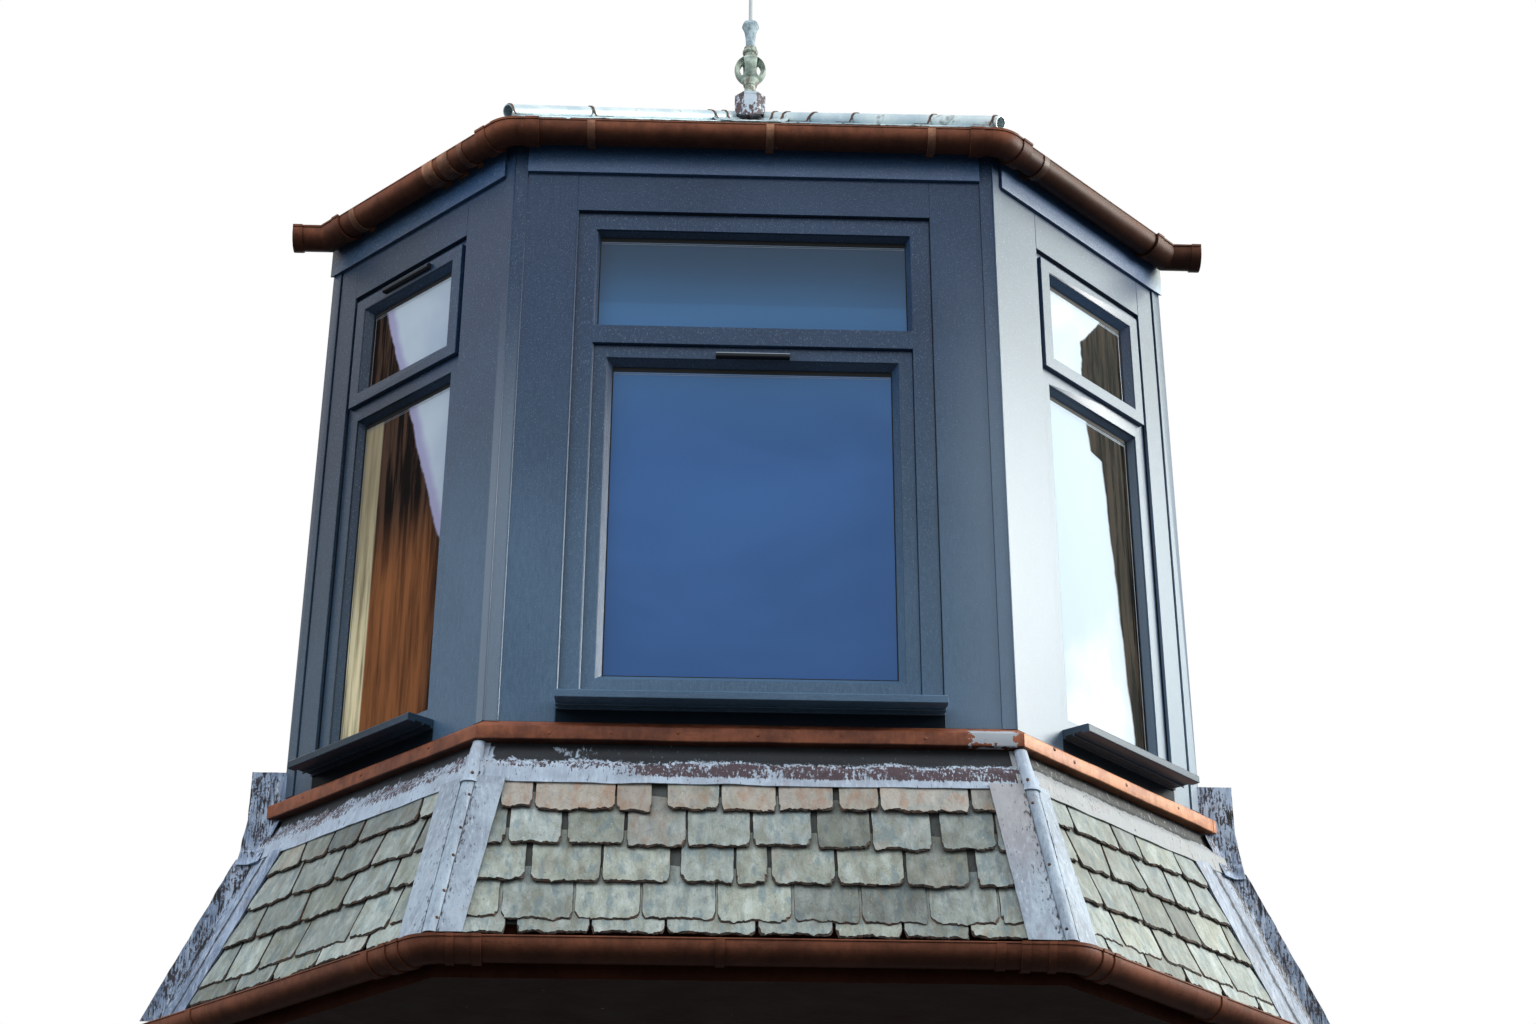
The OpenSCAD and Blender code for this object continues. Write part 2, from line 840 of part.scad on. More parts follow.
module window_board_profile() {
    polygon([[-board_in, frame_z - board_t], [-frame_back, frame_z - board_t],
        [-frame_back, frame_z], [-board_in, frame_z]]);
}

// Head of the bay

// The underside of a roof slope at an offset from the cladding
function roof_under(q, pitch) = roof_edge_z - roof_t + (roof_edge_q - q) * pitch;

module beam_profile(pitch) {
    polygon([[-frame_back, frame_top], [-panel_t, frame_top], [-panel_t, roof_under(-panel_t, pitch)],
        [-frame_back, roof_under(-frame_back, pitch)]]);
}

module front_head_beam() { color("burlywood") front_run() beam_profile(front_pitch); }

module side_head_beams() { color("burlywood") side_runs() beam_profile(side_pitch); }

ceiling_z = frame_top + 60;
ceiling_t = 16;

module ceiling_board() {
    color("white") translate([0, 0, ceiling_z]) linear_extrude(ceiling_t)
        polygon([corner(-frame_back), wall_end(-frame_back), flip(wall_end(-frame_back)),
            flip(corner(-frame_back))]);
}

module front_fascia() {
    color("darkslategray") at_front() facet_box(post_face - front_half, front_half - post_face,
        -panel_t, upper_fascia_q, fascia_z, fascia_top);
}

module side_fascias() {
    color("darkslategray") mirrored() intersection() {
        at_right() facet_box(post_face, side_len + 400, -panel_t, upper_fascia_q, fascia_z,
            fascia_top);
        right_wedge(400, 400);
    }
}

// Roof

apex_q = projection;
side_apex_q = wall_half * sin(cant);

// A sloping slab from the eaves up to the apex
module slope_profile(back) {
    polygon([[roof_edge_q, roof_edge_z], [-back, apex_z], [-back, apex_z - roof_t],
        [roof_edge_q, roof_edge_z - roof_t]]);
}

module front_roof_slope() {
    color("darkseagreen") intersection() {
        at_front() along(2 * far) slope_profile(apex_q);
        tall([[0, 0], corner(roof_edge_q), flip(corner(roof_edge_q))]);
    }
}

module side_roof_slopes() {
    color("darkseagreen") mirrored() intersection() {
        at_right() along(2 * far) slope_profile(side_apex_q);
        tall([[0, 0], corner(roof_edge_q), wall_end(roof_edge_q)]);
        translate([8, -far, -far]) cube([far, 2 * far, 3 * far]);
    }
}

// The space under the top face of a roof slope, from its eaves
module under_roof(pitch) {
    translate([-far, -roof_edge_q, roof_edge_z]) rotate([atan(pitch), 0, 0])
        translate([0, -far / 2, -far / 4]) cube([2 * far, far, far / 4]);
}

hip_tube_r = 24;
hip_tube_t = 3;
zinc_rise = 15;

// The zinc on a roof slope, up to the level of its slates and a little over them
module zinc_sheet(pitch, back) {
    along(2 * far) polygon([[roof_edge_q, roof_edge_z], [-back, apex_z],
        [-back, apex_z + zinc_rise * sqrt(1 + pitch * pitch)],
        [roof_edge_q, roof_edge_z + zinc_rise * sqrt(1 + pitch * pitch)]]);
}

// An open roll over the hip, with a wing on each slope
module hip_roll() {
    tube_out = 15;
    tube_up = 22;
    tube_end = 0.95;
    bore_end = 0.9;
    gap = 9;
    front_wing = 108;
    side_wing = 50;
    eave = corner(roof_edge_q);
    mouth = corner(roof_edge_q + tube_out);
    low = [mouth[0], mouth[1], roof_edge_z + tube_up];
    run = [-eave[0], -eave[1], apex_z - roof_edge_z];
    difference() {
        union() {
            strut(low, low + run * tube_end, hip_tube_r);
            intersection() {
                at_front() zinc_sheet(front_pitch, apex_q);
                tall([eave - [gap, 0], [-gap, 0], [-front_wing, 0], eave - [front_wing, 0]]);
                translate([2, -far, 0]) cube([far, 2 * far, 2 * far]);
            }
            intersection() {
                at_right() zinc_sheet(side_pitch, side_apex_q);
                tall([eave + gap * [0.5, 0.5], gap * [0.5, 0.5], side_wing * [1, 1],
                    eave + side_wing * [1, 1]]);
                translate([2, 4 - far, 0]) cube([far, far - 8, 2 * far]);
            }
        }
        strut(low - run * 0.1, low + run * bore_end, hip_tube_r - hip_tube_t);
        finial_foot(1);
    }
}

module hip_rolls() { color("lightsteelblue") mirrored() hip_roll(); }

flashing_w = 90;
flashing_t = 5;

module roof_end_flashings() {
    color("lightsteelblue") mirrored() intersection() {
        at_right() along(2 * far)
            polygon([[roof_edge_q, roof_edge_z], [-side_apex_q, apex_z],
                [-side_apex_q, apex_z + flashing_t], [roof_edge_q, roof_edge_z + flashing_t]]);
        tall([[0, 0], corner(roof_edge_q), wall_end(roof_edge_q)]);
        translate([block_w / 2 + 40, -flashing_w, 0]) cube([far, flashing_w, 2 * far]);
    }
}

// Finial

block_w = 111;
block_top = apex_z + 72;
foot_h = 26;
finial_y = -57;

function octagon(across) = [for (turn = [22.5:45:360])
    across / 2 / cos(22.5) * [cos(turn), sin(turn)]];

// The upright body of the block, grown by a margin
module finial_foot(grow) {
    translate([0, finial_y, apex_z - 160]) linear_extrude(160 + block_top - apex_z)
        polygon(octagon(block_w + 2 * grow));
}

module finial_block() {
    lip_h = 9;
    color("lightslategray") difference() {
        union() {
            finial_foot(0);
            translate([0, finial_y, block_top - lip_h]) linear_extrude(lip_h)
                polygon(octagon(block_w + 2));
        }
        at_front() under_roof(front_pitch);
        at_right() under_roof(side_pitch);
        mirror([1, 0, 0]) at_right() under_roof(side_pitch);
    }
}

cage_r = 59;
cage_wall = 19;
cage_z = 109;
cage_half_h = 52;
rod_r = 7;
crown_z = 216;

// The turned parts from the block up: foot and its ring, neck and cup, the bulb with its stem, two
// collars and the rod
module finial_outline() {
    polygon([[0, -foot_h], [31, -foot_h], [27, -8], [30, -6], [30, 0], [25, 4], [21, 9], [21, 32],
        [25, 36], [25, 41], [30, 52], [33, 60], [28, 66], [0, 66]]);
    intersection() {
        translate([0, cage_z]) difference() {
            circle(cage_r);
            circle(cage_r - cage_wall);
        }
        translate([0, cage_z - cage_half_h]) square([2 * cage_r, 2 * cage_half_h]);
    }
    polygon([[0, 154], [27, 154], [24, 166], [22, 170], [22, 182], [26, 184], [29, 188], [29, 196],
        [26, 200], [23, 202], [24, 206], [24, 212], [20, crown_z], [0, crown_z]]);
    polygon([[0, 30], [rod_r, 30], [rod_r, 552], [2, 566], [0, 566]]);
}

// The opening between two leaves of the bulb, wider at its foot
module cage_opening() {
    rotate([90, 0, 0]) linear_extrude(4 * cage_r, center = true)
        polygon([for (turn = [0:20:340]) [(22 - 4 * cos(turn)) * sin(turn), 42 * cos(turn)]]);
}

module finial() {
    color("darkseagreen") translate([0, finial_y, block_top + foot_h]) difference() {
        rotate_extrude() finial_outline();
        translate([0, 0, cage_z]) for (turn = [45, 135]) rotate(turn) difference() {
            cage_opening();
            translate([0, 0, -cage_r]) cylinder(h = 2 * cage_r, r = rod_r + 2);
        }
    }
}

// The fluted crown, a cup with eight notches in its rim and eight grooves down its side
module finial_crown() {
    color("darkseagreen") translate([0, finial_y, block_top + foot_h]) difference() {
        rotate_extrude() polygon([[rod_r, crown_z + 1], [17, crown_z + 1], [17.5, 240], [19, 262],
            [22, 283], [27, 300], [32, 312], [30, 320], [27, 328], [24, 328], [24, 316],
            [18, 290], [12, 262], [rod_r, 255]]);
        for (turn = [22.5:45:360]) rotate(turn) {
            strut([20.5, 0, 200], [23.5, 0, 276], 4);
            strut([22, 0, 262], [38, 0, 324], 5);
            translate([29, 0, 332]) rotate([0, 90, 0]) cylinder(h = 30, r = 7, center = true);
        }
    }
}

floor_platform();
soffit_board();
front_spandrel();
side_spandrels();
front_skirt();
side_skirts();
front_lower_fascia();
side_lower_fascias();
front_drip_moulding();
side_drip_mouldings();
front_lead_apron();
side_lead_aprons();
lead_hips();
lead_abutments();
lower_gutter_front();
lower_gutter_sides();
lower_gutter_angles();
lower_gutter_straps();
corner_studs();
wall_studs();
corner_post_covers();
front_jamb_panels();
side_jamb_panels();
front_head_panel();
side_head_panels();
front_foot_panel();
side_foot_panels();
end_strips();
wall_trims();
front_window_frame();
side_window_frames();
front_sash();
side_sashes();
front_glass();
side_glass();
trickle_vents();
front_sill();
side_sills();
window_boards();
front_head_beam();
side_head_beams();
ceiling_board();
front_fascia();
side_fascias();
upper_gutter_front();
upper_gutter_sides();
upper_gutter_angles();
upper_gutter_wall_angles();
upper_gutter_straps();
front_roof_slope();
side_roof_slopes();
hip_rolls();
roof_end_flashings();
finial_block();
finial();
finial_crown();
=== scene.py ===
"""The looks of the bay window: slates, lead, paint, foil, glass, small fixings, lights and camera.

All measures are in metres in the part's own frame: +X along the wall, +Y into the building, +Z up.
An offset q is measured outward from the face of the cladding, and s along a facet, as in part.scad.
"""

import math
import random

import bmesh
import bpy
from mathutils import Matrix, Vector, noise


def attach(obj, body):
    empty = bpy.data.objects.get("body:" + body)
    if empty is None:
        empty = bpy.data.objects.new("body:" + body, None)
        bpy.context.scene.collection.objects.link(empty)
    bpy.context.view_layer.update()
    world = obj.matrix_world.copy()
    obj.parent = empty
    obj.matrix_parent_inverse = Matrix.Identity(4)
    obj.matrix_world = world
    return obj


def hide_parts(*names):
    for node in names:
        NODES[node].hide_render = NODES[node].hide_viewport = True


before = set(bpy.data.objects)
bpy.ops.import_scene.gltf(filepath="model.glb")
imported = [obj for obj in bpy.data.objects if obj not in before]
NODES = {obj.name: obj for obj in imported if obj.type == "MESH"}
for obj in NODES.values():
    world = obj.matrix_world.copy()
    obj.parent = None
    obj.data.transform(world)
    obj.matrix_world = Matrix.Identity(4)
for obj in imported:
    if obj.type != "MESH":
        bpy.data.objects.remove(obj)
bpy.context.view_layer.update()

# Places repeated from part.scad

FRONT_HALF = 0.8
PROJECTION = 0.677
CANT = math.radians(45)
MITRE = math.tan(CANT / 2)
SIDE_LENGTH = PROJECTION / math.sin(CANT)
WALL_HALF = FRONT_HALF + PROJECTION
WALL_SKEW = 1 / math.sin(CANT)
PANEL_T = 0.012
MOULD_TOP = 0.78
MOULD_H = 0.073
MOULD_OUT = 0.043
SKIRT_TOP = 0.707
SKIRT_FOOT = 0.08
SKIRT_START = 0.018
SKIRT_LEAN = 0.3257
SLATE_BED = 0.012
APRON_FOOT = 0.562
HIP_FOOT = 0.045
ROOF_EDGE_Q = 0.06
ROOF_EDGE_Z = 2.942
APEX_Z = 3.48
FINIAL_Y = -0.057
FINIAL_Z = APEX_Z + 0.098
BLOCK_HALF = 0.0555
GLASS_Q = -0.047
SASH_GLASS_Q = -0.061
SIDE_SASH_GLASS_Q = -0.029
UP = Vector((0, 0, 1))


class Facet:
    """One flat side of the bay, with the directions along it and out of it."""

    def __init__(self, name, corner_x, turn):
        self.name = name
        self.corner = Vector((corner_x, -PROJECTION, 0))
        self.side = -1 if corner_x < 0 else 1
        self.along = Vector((self.side * math.cos(turn), math.sin(turn), 0))
        self.out = Vector((self.side * math.sin(turn), -math.cos(turn), 0))

    def point(self, s, q, z):
        return self.corner + self.along * s + self.out * q + UP * z


FRONT = Facet("front", 0, 0)
RIGHT = Facet("right", FRONT_HALF, CANT)
LEFT = Facet("left", -FRONT_HALF, CANT)


def skirt_q(z):
    """The outer face of the slates on the skirt at height z."""
    return SKIRT_START + (SKIRT_TOP - z) * SKIRT_LEAN


def front_half(q):
    return FRONT_HALF + q * MITRE


def hip_point(side, q, z):
    """The corner between the front and a side, out at q."""
    return Vector((side * front_half(q), -PROJECTION - q, z))


def wall_x(q):
    """How far from the middle a side meets the wall, out at q."""
    return WALL_HALF + q * WALL_SKEW


def wobble(x, y, seed=0.0):
    return noise.noise(Vector((x, y, seed)))


def blend(a, b, amount):
    return a + (b - a) * amount


def ease(value, low, high):
    """0 at low, 1 at high, smooth between them."""
    k = min(1.0, max(0.0, (value - low) / (high - low)))
    return k * k * (3 - 2 * k)


def towards(direction, way):
    """The direction or its opposite, whichever has more of the way in it, at length 1."""
    direction = direction.normalized()
    return direction if direction.dot(way) > 0 else -direction


# Shader nodes


def arithmetic(operation):
    """A method of Value that adds a math node."""

    def add_node(self, other=0.0):
        return self.nodes.math(operation, self, other)

    return add_node


class Value:
    """What a socket of a shader gives. Arithmetic with it adds the nodes for that: a | b is the
    larger of two values, a & b the smaller one, and a < b is 1 where that holds."""

    def __init__(self, nodes, socket):
        self.nodes, self.socket = nodes, socket

    __add__, __sub__, __mul__ = arithmetic("ADD"), arithmetic("SUBTRACT"), arithmetic("MULTIPLY")
    __or__, __and__, __abs__ = arithmetic("MAXIMUM"), arithmetic("MINIMUM"), arithmetic("ABSOLUTE")
    __lt__, __gt__, __truediv__ = map(arithmetic, ("LESS_THAN", "GREATER_THAN", "DIVIDE"))

    def __rsub__(self, other):
        return self.nodes.math("SUBTRACT", other, self)

    def step(self, low, high):
        """0 below low, 1 above high, smooth between them."""
        node = self.nodes.node("ShaderNodeMapRange", Value=self, From_Min=low, From_Max=high)
        node.interpolation_type = "SMOOTHSTEP"
        return Value(self.nodes, node.outputs[0])

    def spread(self, low, high):
        """A value from 0 to 1 as one from low to high."""
        return self.nodes.value("ShaderNodeMapRange", Value=self, To_Min=low, To_Max=high)


class Nodes:
    """A tree of shader nodes and short calls that add to it. In the names of inputs, _ stands for a
    space."""

    def __init__(self, tree):
        self.tree = tree

    def feed(self, node, socket, value):
        if isinstance(value, Value):
            self.tree.links.new(value.socket, node.inputs[socket])
        else:
            node.inputs[socket].default_value = value

    def node(self, kind, **inputs):
        node = self.tree.nodes.new(kind)
        for socket, value in inputs.items():
            self.feed(node, socket.replace("_", " "), value)
        return node

    def value(self, kind, output=0, **inputs):
        return Value(self, self.node(kind, **inputs).outputs[output])

    def values(self, kind, **inputs):
        return [Value(self, socket) for socket in self.node(kind, **inputs).outputs]

    def math(self, operation, a, b):
        node = self.node("ShaderNodeMath")
        node.operation = operation
        self.feed(node, 0, a)
        self.feed(node, 1, b)
        return Value(self, node.outputs[0])


class Finish(Nodes):
    """A material. Its base colour is laid on in layers, and done() joins all to its shader."""

    def __init__(self, name, **sockets):
        self.material = bpy.data.materials.new(name)
        self.material.use_nodes = True
        super().__init__(self.material.node_tree)
        self.shader = self.tree.nodes["Principled BSDF"]
        for socket, value in sockets.items():
            self.feed(self.shader, socket.replace("_", " "), value)
        self.place = self.value("ShaderNodeTexCoord", "Object")

    def noise(self, scale, detail=4.0, roughness=0.55, distortion=0.0):
        """Clouds, or streaks where the scale is three numbers, one for each axis."""
        place = self.place
        if isinstance(scale, tuple):
            place = self.value("ShaderNodeMapping", Vector=place, Scale=scale)
            scale = 1.0
        return self.value("ShaderNodeTexNoise", Vector=place, Scale=scale, Detail=detail,
                          Roughness=roughness, Distortion=distortion)

    def tint(self, reach=0.0):
        """The three channels of the mesh's own tint. With a reach, the tint also moves each texture
        that follows, so that no two tints share a pattern."""
        node = self.node("ShaderNodeAttribute")
        node.attribute_name = "tint"
        if reach:
            moved = self.node("ShaderNodeVectorMath")
            moved.operation = "MULTIPLY_ADD"
            shift = Value(self, node.outputs["Vector"])
            for i, value in enumerate((shift, [reach] * 3, self.place)):
                self.feed(moved, i, value)
            self.place = Value(self, moved.outputs[0])
        return self.values("ShaderNodeSeparateColor", Color=Value(self, node.outputs["Color"]))

    def axes(self):
        return self.values("ShaderNodeSeparateXYZ", Vector=self.place)

    def facing(self, axis):
        """How far the surface faces an axis, from -1 to 1."""
        normal = self.value("ShaderNodeNewGeometry", "Normal")
        return self.value("ShaderNodeSeparateXYZ", axis, Vector=normal)

    def mix(self, amount, a, b, kind="MIX"):
        node = self.node("ShaderNodeMix")
        node.data_type = "RGBA"
        node.blend_type = kind
        self.feed(node, 0, amount)
        for socket, colour in ((6, a), (7, b)):
            self.feed(node, socket, colour if isinstance(colour, Value) else (*colour, 1))
        return Value(self, node.outputs[2])

    def lay(self, amount, colour):
        """Lays a colour over the base, by an amount from 0 to 1."""
        self.base = self.mix(amount, self.base, colour)

    def done(self, roughness, relief=None, depth=0.0, strength=1.0):
        self.feed(self.shader, "Base Color", self.base)
        self.feed(self.shader, "Roughness", roughness)
        if relief:
            bump = self.value("ShaderNodeBump", Height=relief, Strength=strength, Distance=depth)
            self.feed(self.shader, "Normal", bump)
        return self.material


def foil(name, grain, light=1.0):
    """Blue-grey window foil, its blue deepened by a painted reflection of the sky, embossed with a
    fine leathery grain along the length of the bar, with painted glints in the grain. It has
    painted shade high up and at the far left, and a painted sheen low down on the right and on the
    left corner post."""
    f = Finish(name, IOR=1.5, Specular_IOR_Level=0.4 * light)
    x, _, z = f.axes()
    streak, emboss = f.noise(grain, 5, 0.6), f.noise(360.0, 3, 0.6)
    tone = (streak * 0.45 + emboss * 0.25 + f.noise(2.6, 2) * 0.3).step(0.36, 0.64)
    # The foil's own blue-grey, its blue deepened by a painted reflection of the sky
    f.base = f.mix(tone, (0.037, 0.082, 0.143), (0.063, 0.124, 0.2))
    # Painted shade high up
    f.lay(z.step(1.0, 2.3), f.mix(tone, (0.006, 0.022, 0.056), (0.013, 0.037, 0.085)))
    # Painted shade at the far left
    f.lay(x.step(-0.98, -1.2) * 0.55, (0.008, 0.014, 0.022))
    # A painted sheen low down on the right
    f.lay(x.step(0.5, 0.8) * z.step(2.7, 1.6) * 0.6, (0.13, 0.185, 0.25))
    # A painted sheen on the left corner post
    f.lay(abs(x + 0.793).step(0.034, 0.03) * z.step(2.4, 1.5) * 0.5, (0.19, 0.235, 0.29))
    # Pale specks in the grain: painted glints
    f.lay(f.noise((300, 300, 170), 2).step(0.58, 0.7) * 0.45, (0.15, 0.21, 0.29))
    # A light above 1 makes a painted lit copy of the foil, below 1 a painted shaded copy
    if light != 1.0:
        f.base = f.mix(1.0, f.base, [light] * 3, "MULTIPLY")
    return f.done(emboss.spread(0.27, 0.45), emboss * 0.7 + streak * 0.5, 0.0007, 0.5)


def brown_paint(name, dark, bright, gloss, bare=None):
    """Old red-brown gloss paint: patchy, streaked and chipped, with painted shade where it faces
    down and on the upper right, and paler and more orange where the tint's green channel is high. A
    patch of bare lead is given by its middle and its half size along X and Z."""
    f = Finish(name, Specular_IOR_Level=gloss)
    x, y, z = f.axes()
    patches, mottle = f.noise(5.0, 5), f.noise(26.0, 5, 0.65)
    tone = patches * 0.5 + f.noise((70, 70, 7), 5) * 0.12 + mottle * 0.38
    f.base = f.mix(tone.step(0.38, 0.64), dark, bright)
    # Painted shade on the upper right
    f.lay(z.step(1.5, 2.5) * x.step(0.8, 0.95) * 0.6, (0.035, 0.018, 0.012))
    f.lay(f.tint()[1], f.mix(tone.step(0.4, 0.6), (0.33, 0.12, 0.055), (0.62, 0.27, 0.125)))
    f.lay(f.noise((14, 14, 60), 6, 0.7).step(0.6, 0.7) * 0.45, [0.35 * c for c in dark])
    # Painted shade where the surface faces down
    f.lay(f.facing("Z").step(0.0, -0.8) * 0.7, (0.01, 0.005, 0.004))
    chips = f.noise(30.0, 7, 0.72).step(0.7, 0.72)
    if bare:
        middle_x, middle_z, half_x, half_z = bare
        room = (half_x - abs(x - middle_x)) & (half_z - abs(z - middle_z))
        ragged = (f.noise(38.0, 5) - 0.54) * 0.13
        chips |= (room + ragged).step(0.0, 0.001) * (y < -PROJECTION - 0.02)
    f.lay(chips, (0.34, 0.38, 0.42))
    relief = patches * 1.2 + mottle * 0.25 - chips * 0.15
    return f.done(patches.spread(0.34, 0.58), relief, 0.005, 0.5)


def lead(name, pale, mid, dark, blotch, warmed=(0.25, 0.24, 0.21)):
    """Weathered lead: pale patina, streaks and dark blotches, more of them where the tint's red
    channel is high. Its green channel warms the colour, and where the blue one is high the lead is
    black, ending in a comb of short streaks: painted shade in the hollow under the moulding, in
    creases and on the backs of sheets, and dark mottling on the strips on the wall."""
    f = Finish(name, Specular_IOR_Level=0.25)
    dirt, warm, dull = f.tint()
    cloud, streak = f.noise((9, 9, 3), 5, 0.6), f.noise((95, 95, 9), 6, 0.65)
    speck, comb = f.noise((170, 170, 60), 7, 0.75), f.noise((150, 150, 20), 4, 0.6)
    f.base = f.mix((cloud * 0.6 + streak * 0.4).step(0.38, 0.6), mid, pale)
    f.lay(streak.step(0.56, 0.68) * 0.5, (0.55, 0.6, 0.66))
    f.lay(warm * 0.75, warmed)
    f.lay(f.noise(16.0, 5, 0.6).step(0.56, 0.76) * 0.55, (0.27, 0.225, 0.22))
    spots = f.noise(13.0, 5) * 0.25 + speck * 0.35 + f.noise(120.0, 3, 0.6) * 0.15 + comb * 0.25
    f.lay((spots + dirt * 0.3).step(blotch, blotch + 0.025), dark)
    f.lay(comb.step(0.63, 0.68) * 0.45, dark)
    # Black where the tint's blue channel is high: painted shade, and dark mottling on the wall
    # strips
    f.lay((dull + comb * 2.4 - 1.2).step(0.22, 0.66) * 0.97, (0.016, 0.017, 0.019))
    return f.done(cloud.spread(0.4, 0.66), cloud + speck * 0.16 + streak * 0.12, 0.005, 0.45)


def block_lead():
    """Lead round the finial's block: clean and pale in front, mottled on the faces at its sides."""
    f = Finish("lead_block", Specular_IOR_Level=0.3)
    speck = f.noise((60, 60, 38), 7, 0.72)
    mottled = abs(f.facing("X")).step(0.3, 0.6) | f.axes()[2].step(APEX_Z + 0.04, APEX_Z)
    f.base = f.mix(f.noise(30.0), (0.3, 0.37, 0.44), (0.5, 0.57, 0.64))
    f.lay((speck + mottled * 0.14).step(0.55, 0.63), (0.07, 0.05, 0.055))
    return f.done(speck.spread(0.4, 0.65), speck, 0.003, 0.4)


def zinc():
    f = Finish("zinc", Metallic=0.3)
    cloud, drip = f.noise(6.0, 5), f.noise((45, 45, 60), 5)
    f.base = f.mix(cloud.step(0.35, 0.65), (0.36, 0.47, 0.53), (0.56, 0.66, 0.68))
    f.lay((cloud * 0.5 + drip * 0.5).step(0.56, 0.66) * 0.6, (0.1, 0.11, 0.11))
    return f.done(drip.spread(0.34, 0.52), cloud, 0.003, 0.4)


def slate(name, light):
    """Riven slate. The tint of each slate gives its hue, its tone and how stained it is."""
    f = Finish(name)
    hue, tone, stain = f.tint(11.0)
    f.base = f.mix(hue.step(0.15, 0.5), (0.31, 0.36, 0.34), (0.31, 0.345, 0.3))
    f.lay(hue.step(0.55, 0.9) * 0.45, (0.25, 0.31, 0.345))
    streak = f.noise((26, 26, 3), 6, 0.62)
    riven = f.noise((22, 22, 9), 7, 0.62, 0.7)
    layers = riven * 9
    for amount, colour in (
            (streak.step(0.48, 0.66) * 0.75, (0.19, 0.2, 0.165)),
            (streak.step(0.5, 0.32) * 0.75, (0.45, 0.51, 0.49)),
            (f.noise((40, 40, 3), 3).step(0.5, 0.66) * 0.7, (0.16, 0.225, 0.25)),
            (f.noise(13.0, 6, 0.62).step(0.57, 0.72) * 0.42, (0.13, 0.14, 0.12)),
            ((f.noise(5.0, 3) + stain * 0.5).step(0.66, 0.95) * 0.65, (0.43, 0.37, 0.32)),
            ((f.noise((34, 34, 4), 5) + stain * 0.22).step(0.64, 0.84) * 0.6, (0.33, 0.2, 0.13)),
            (f.noise((150, 150, 28)).step(0.69, 0.73) * 0.7, (0.66, 0.69, 0.66)),
            (f.noise(95.0, 3).step(0.66, 0.72) * 0.6, (0.09, 0.1, 0.08)),
            (f.math("FRACT", layers, 0).step(0.12, 0.0) * 0.55, (0.08, 0.085, 0.08))):
        f.lay(amount, colour)
    # A light below 1 darkens every slate: a painted shade
    shade = tone.spread(0.46, 1.16) * light
    grey = f.value("ShaderNodeCombineColor", Red=shade, Green=shade, Blue=shade)
    f.base = f.mix(1.0, f.base, grey, "MULTIPLY")
    relief = riven * 0.8 + f.math("FLOOR", layers, 0) * 0.048 + f.noise(190.0, 3) * 0.1
    return f.done(0.68, relief, 0.006, 0.75)


def slate_edge():
    """The split edge of a slate, in dark and rusty layers that run along it."""
    f = Finish("slate_edge")
    layer = f.noise((24, 24, 420), 5, 0.65)
    f.base = f.mix(layer.step(0.38, 0.62), (0.012, 0.01, 0.009), (0.085, 0.068, 0.056))
    f.lay(f.noise(22.0).step(0.48, 0.68), (0.085, 0.046, 0.032))
    return f.done(0.8, layer, 0.002, 0.8)


def painted_iron():
    """Old paint on a cast finial: grey-green on its bulb, blue-grey on the crown, pale on the rod,
    with rust in its hollows, most of it at the neck and the collars."""
    f = Finish("finial_paint", Specular_IOR_Level=0.3)
    cloud, worn = f.noise(30.0, 5), f.noise((60, 60, 34), 6, 0.7)
    height = f.axes()[2] - FINIAL_Z
    tone = cloud.step(0.35, 0.65)
    f.base = f.mix(tone, (0.17, 0.22, 0.19), (0.4, 0.48, 0.42))
    f.lay(height.step(0.2, 0.215), f.mix(tone, (0.13, 0.19, 0.23), (0.33, 0.42, 0.46)))
    f.lay(height.step(0.325, 0.33), (0.36, 0.4, 0.42))
    hollows = height.step(0.066, 0.045) | height.step(0.15, 0.165) * height.step(0.22, 0.2)
    rusted = (worn + hollows * 0.11).step(0.59, 0.67)
    f.lay(rusted * 0.7, (0.14, 0.075, 0.045))
    return f.done(cloud.spread(0.45, 0.75), cloud - rusted * 0.4, 0.003, 0.5)


def grained(name, dark, pale, pattern, band, roughness, depth, strength):
    """Two colours in one pattern, which is also the relief."""
    f = Finish(name)
    grain = f.noise(*pattern)
    f.base = f.mix(grain.step(*band), dark, pale)
    return f.done(roughness, grain, depth, strength)


def white_lining():
    f = Finish("white_lining")
    f.base = f.mix(f.noise(3.0), (0.68, 0.67, 0.63), (0.78, 0.77, 0.73))
    return f.done(0.5, f.noise(220.0, 2), 0.0006, 0.3)


def front_glass():
    """A pane with a painted reflection of the blue sky in soft clouds, greyer and then dark at the
    top.
    """
    f = Finish("glass_front", IOR=1.45, Transmission_Weight=0.35, Specular_IOR_Level=0.4)
    z = f.axes()[2]
    cloud = f.noise((0.9, 0.9, 1.44), 3, distortion=0.5)
    # A painted reflection of the sky
    f.base = f.mix(cloud.step(0.38, 0.66), (0.018, 0.1, 0.3), (0.03, 0.132, 0.37))
    # The painted reflection turns greyer, then dark, towards the top
    f.lay(z.step(1.6, 2.4) * 0.7, (0.05, 0.155, 0.29))
    f.lay((z + cloud * 0.16).step(2.32, 2.58) * 0.75, (0.012, 0.035, 0.065))
    return f.done(0.03, f.noise(2.2, 1), 0.003, 0.1)


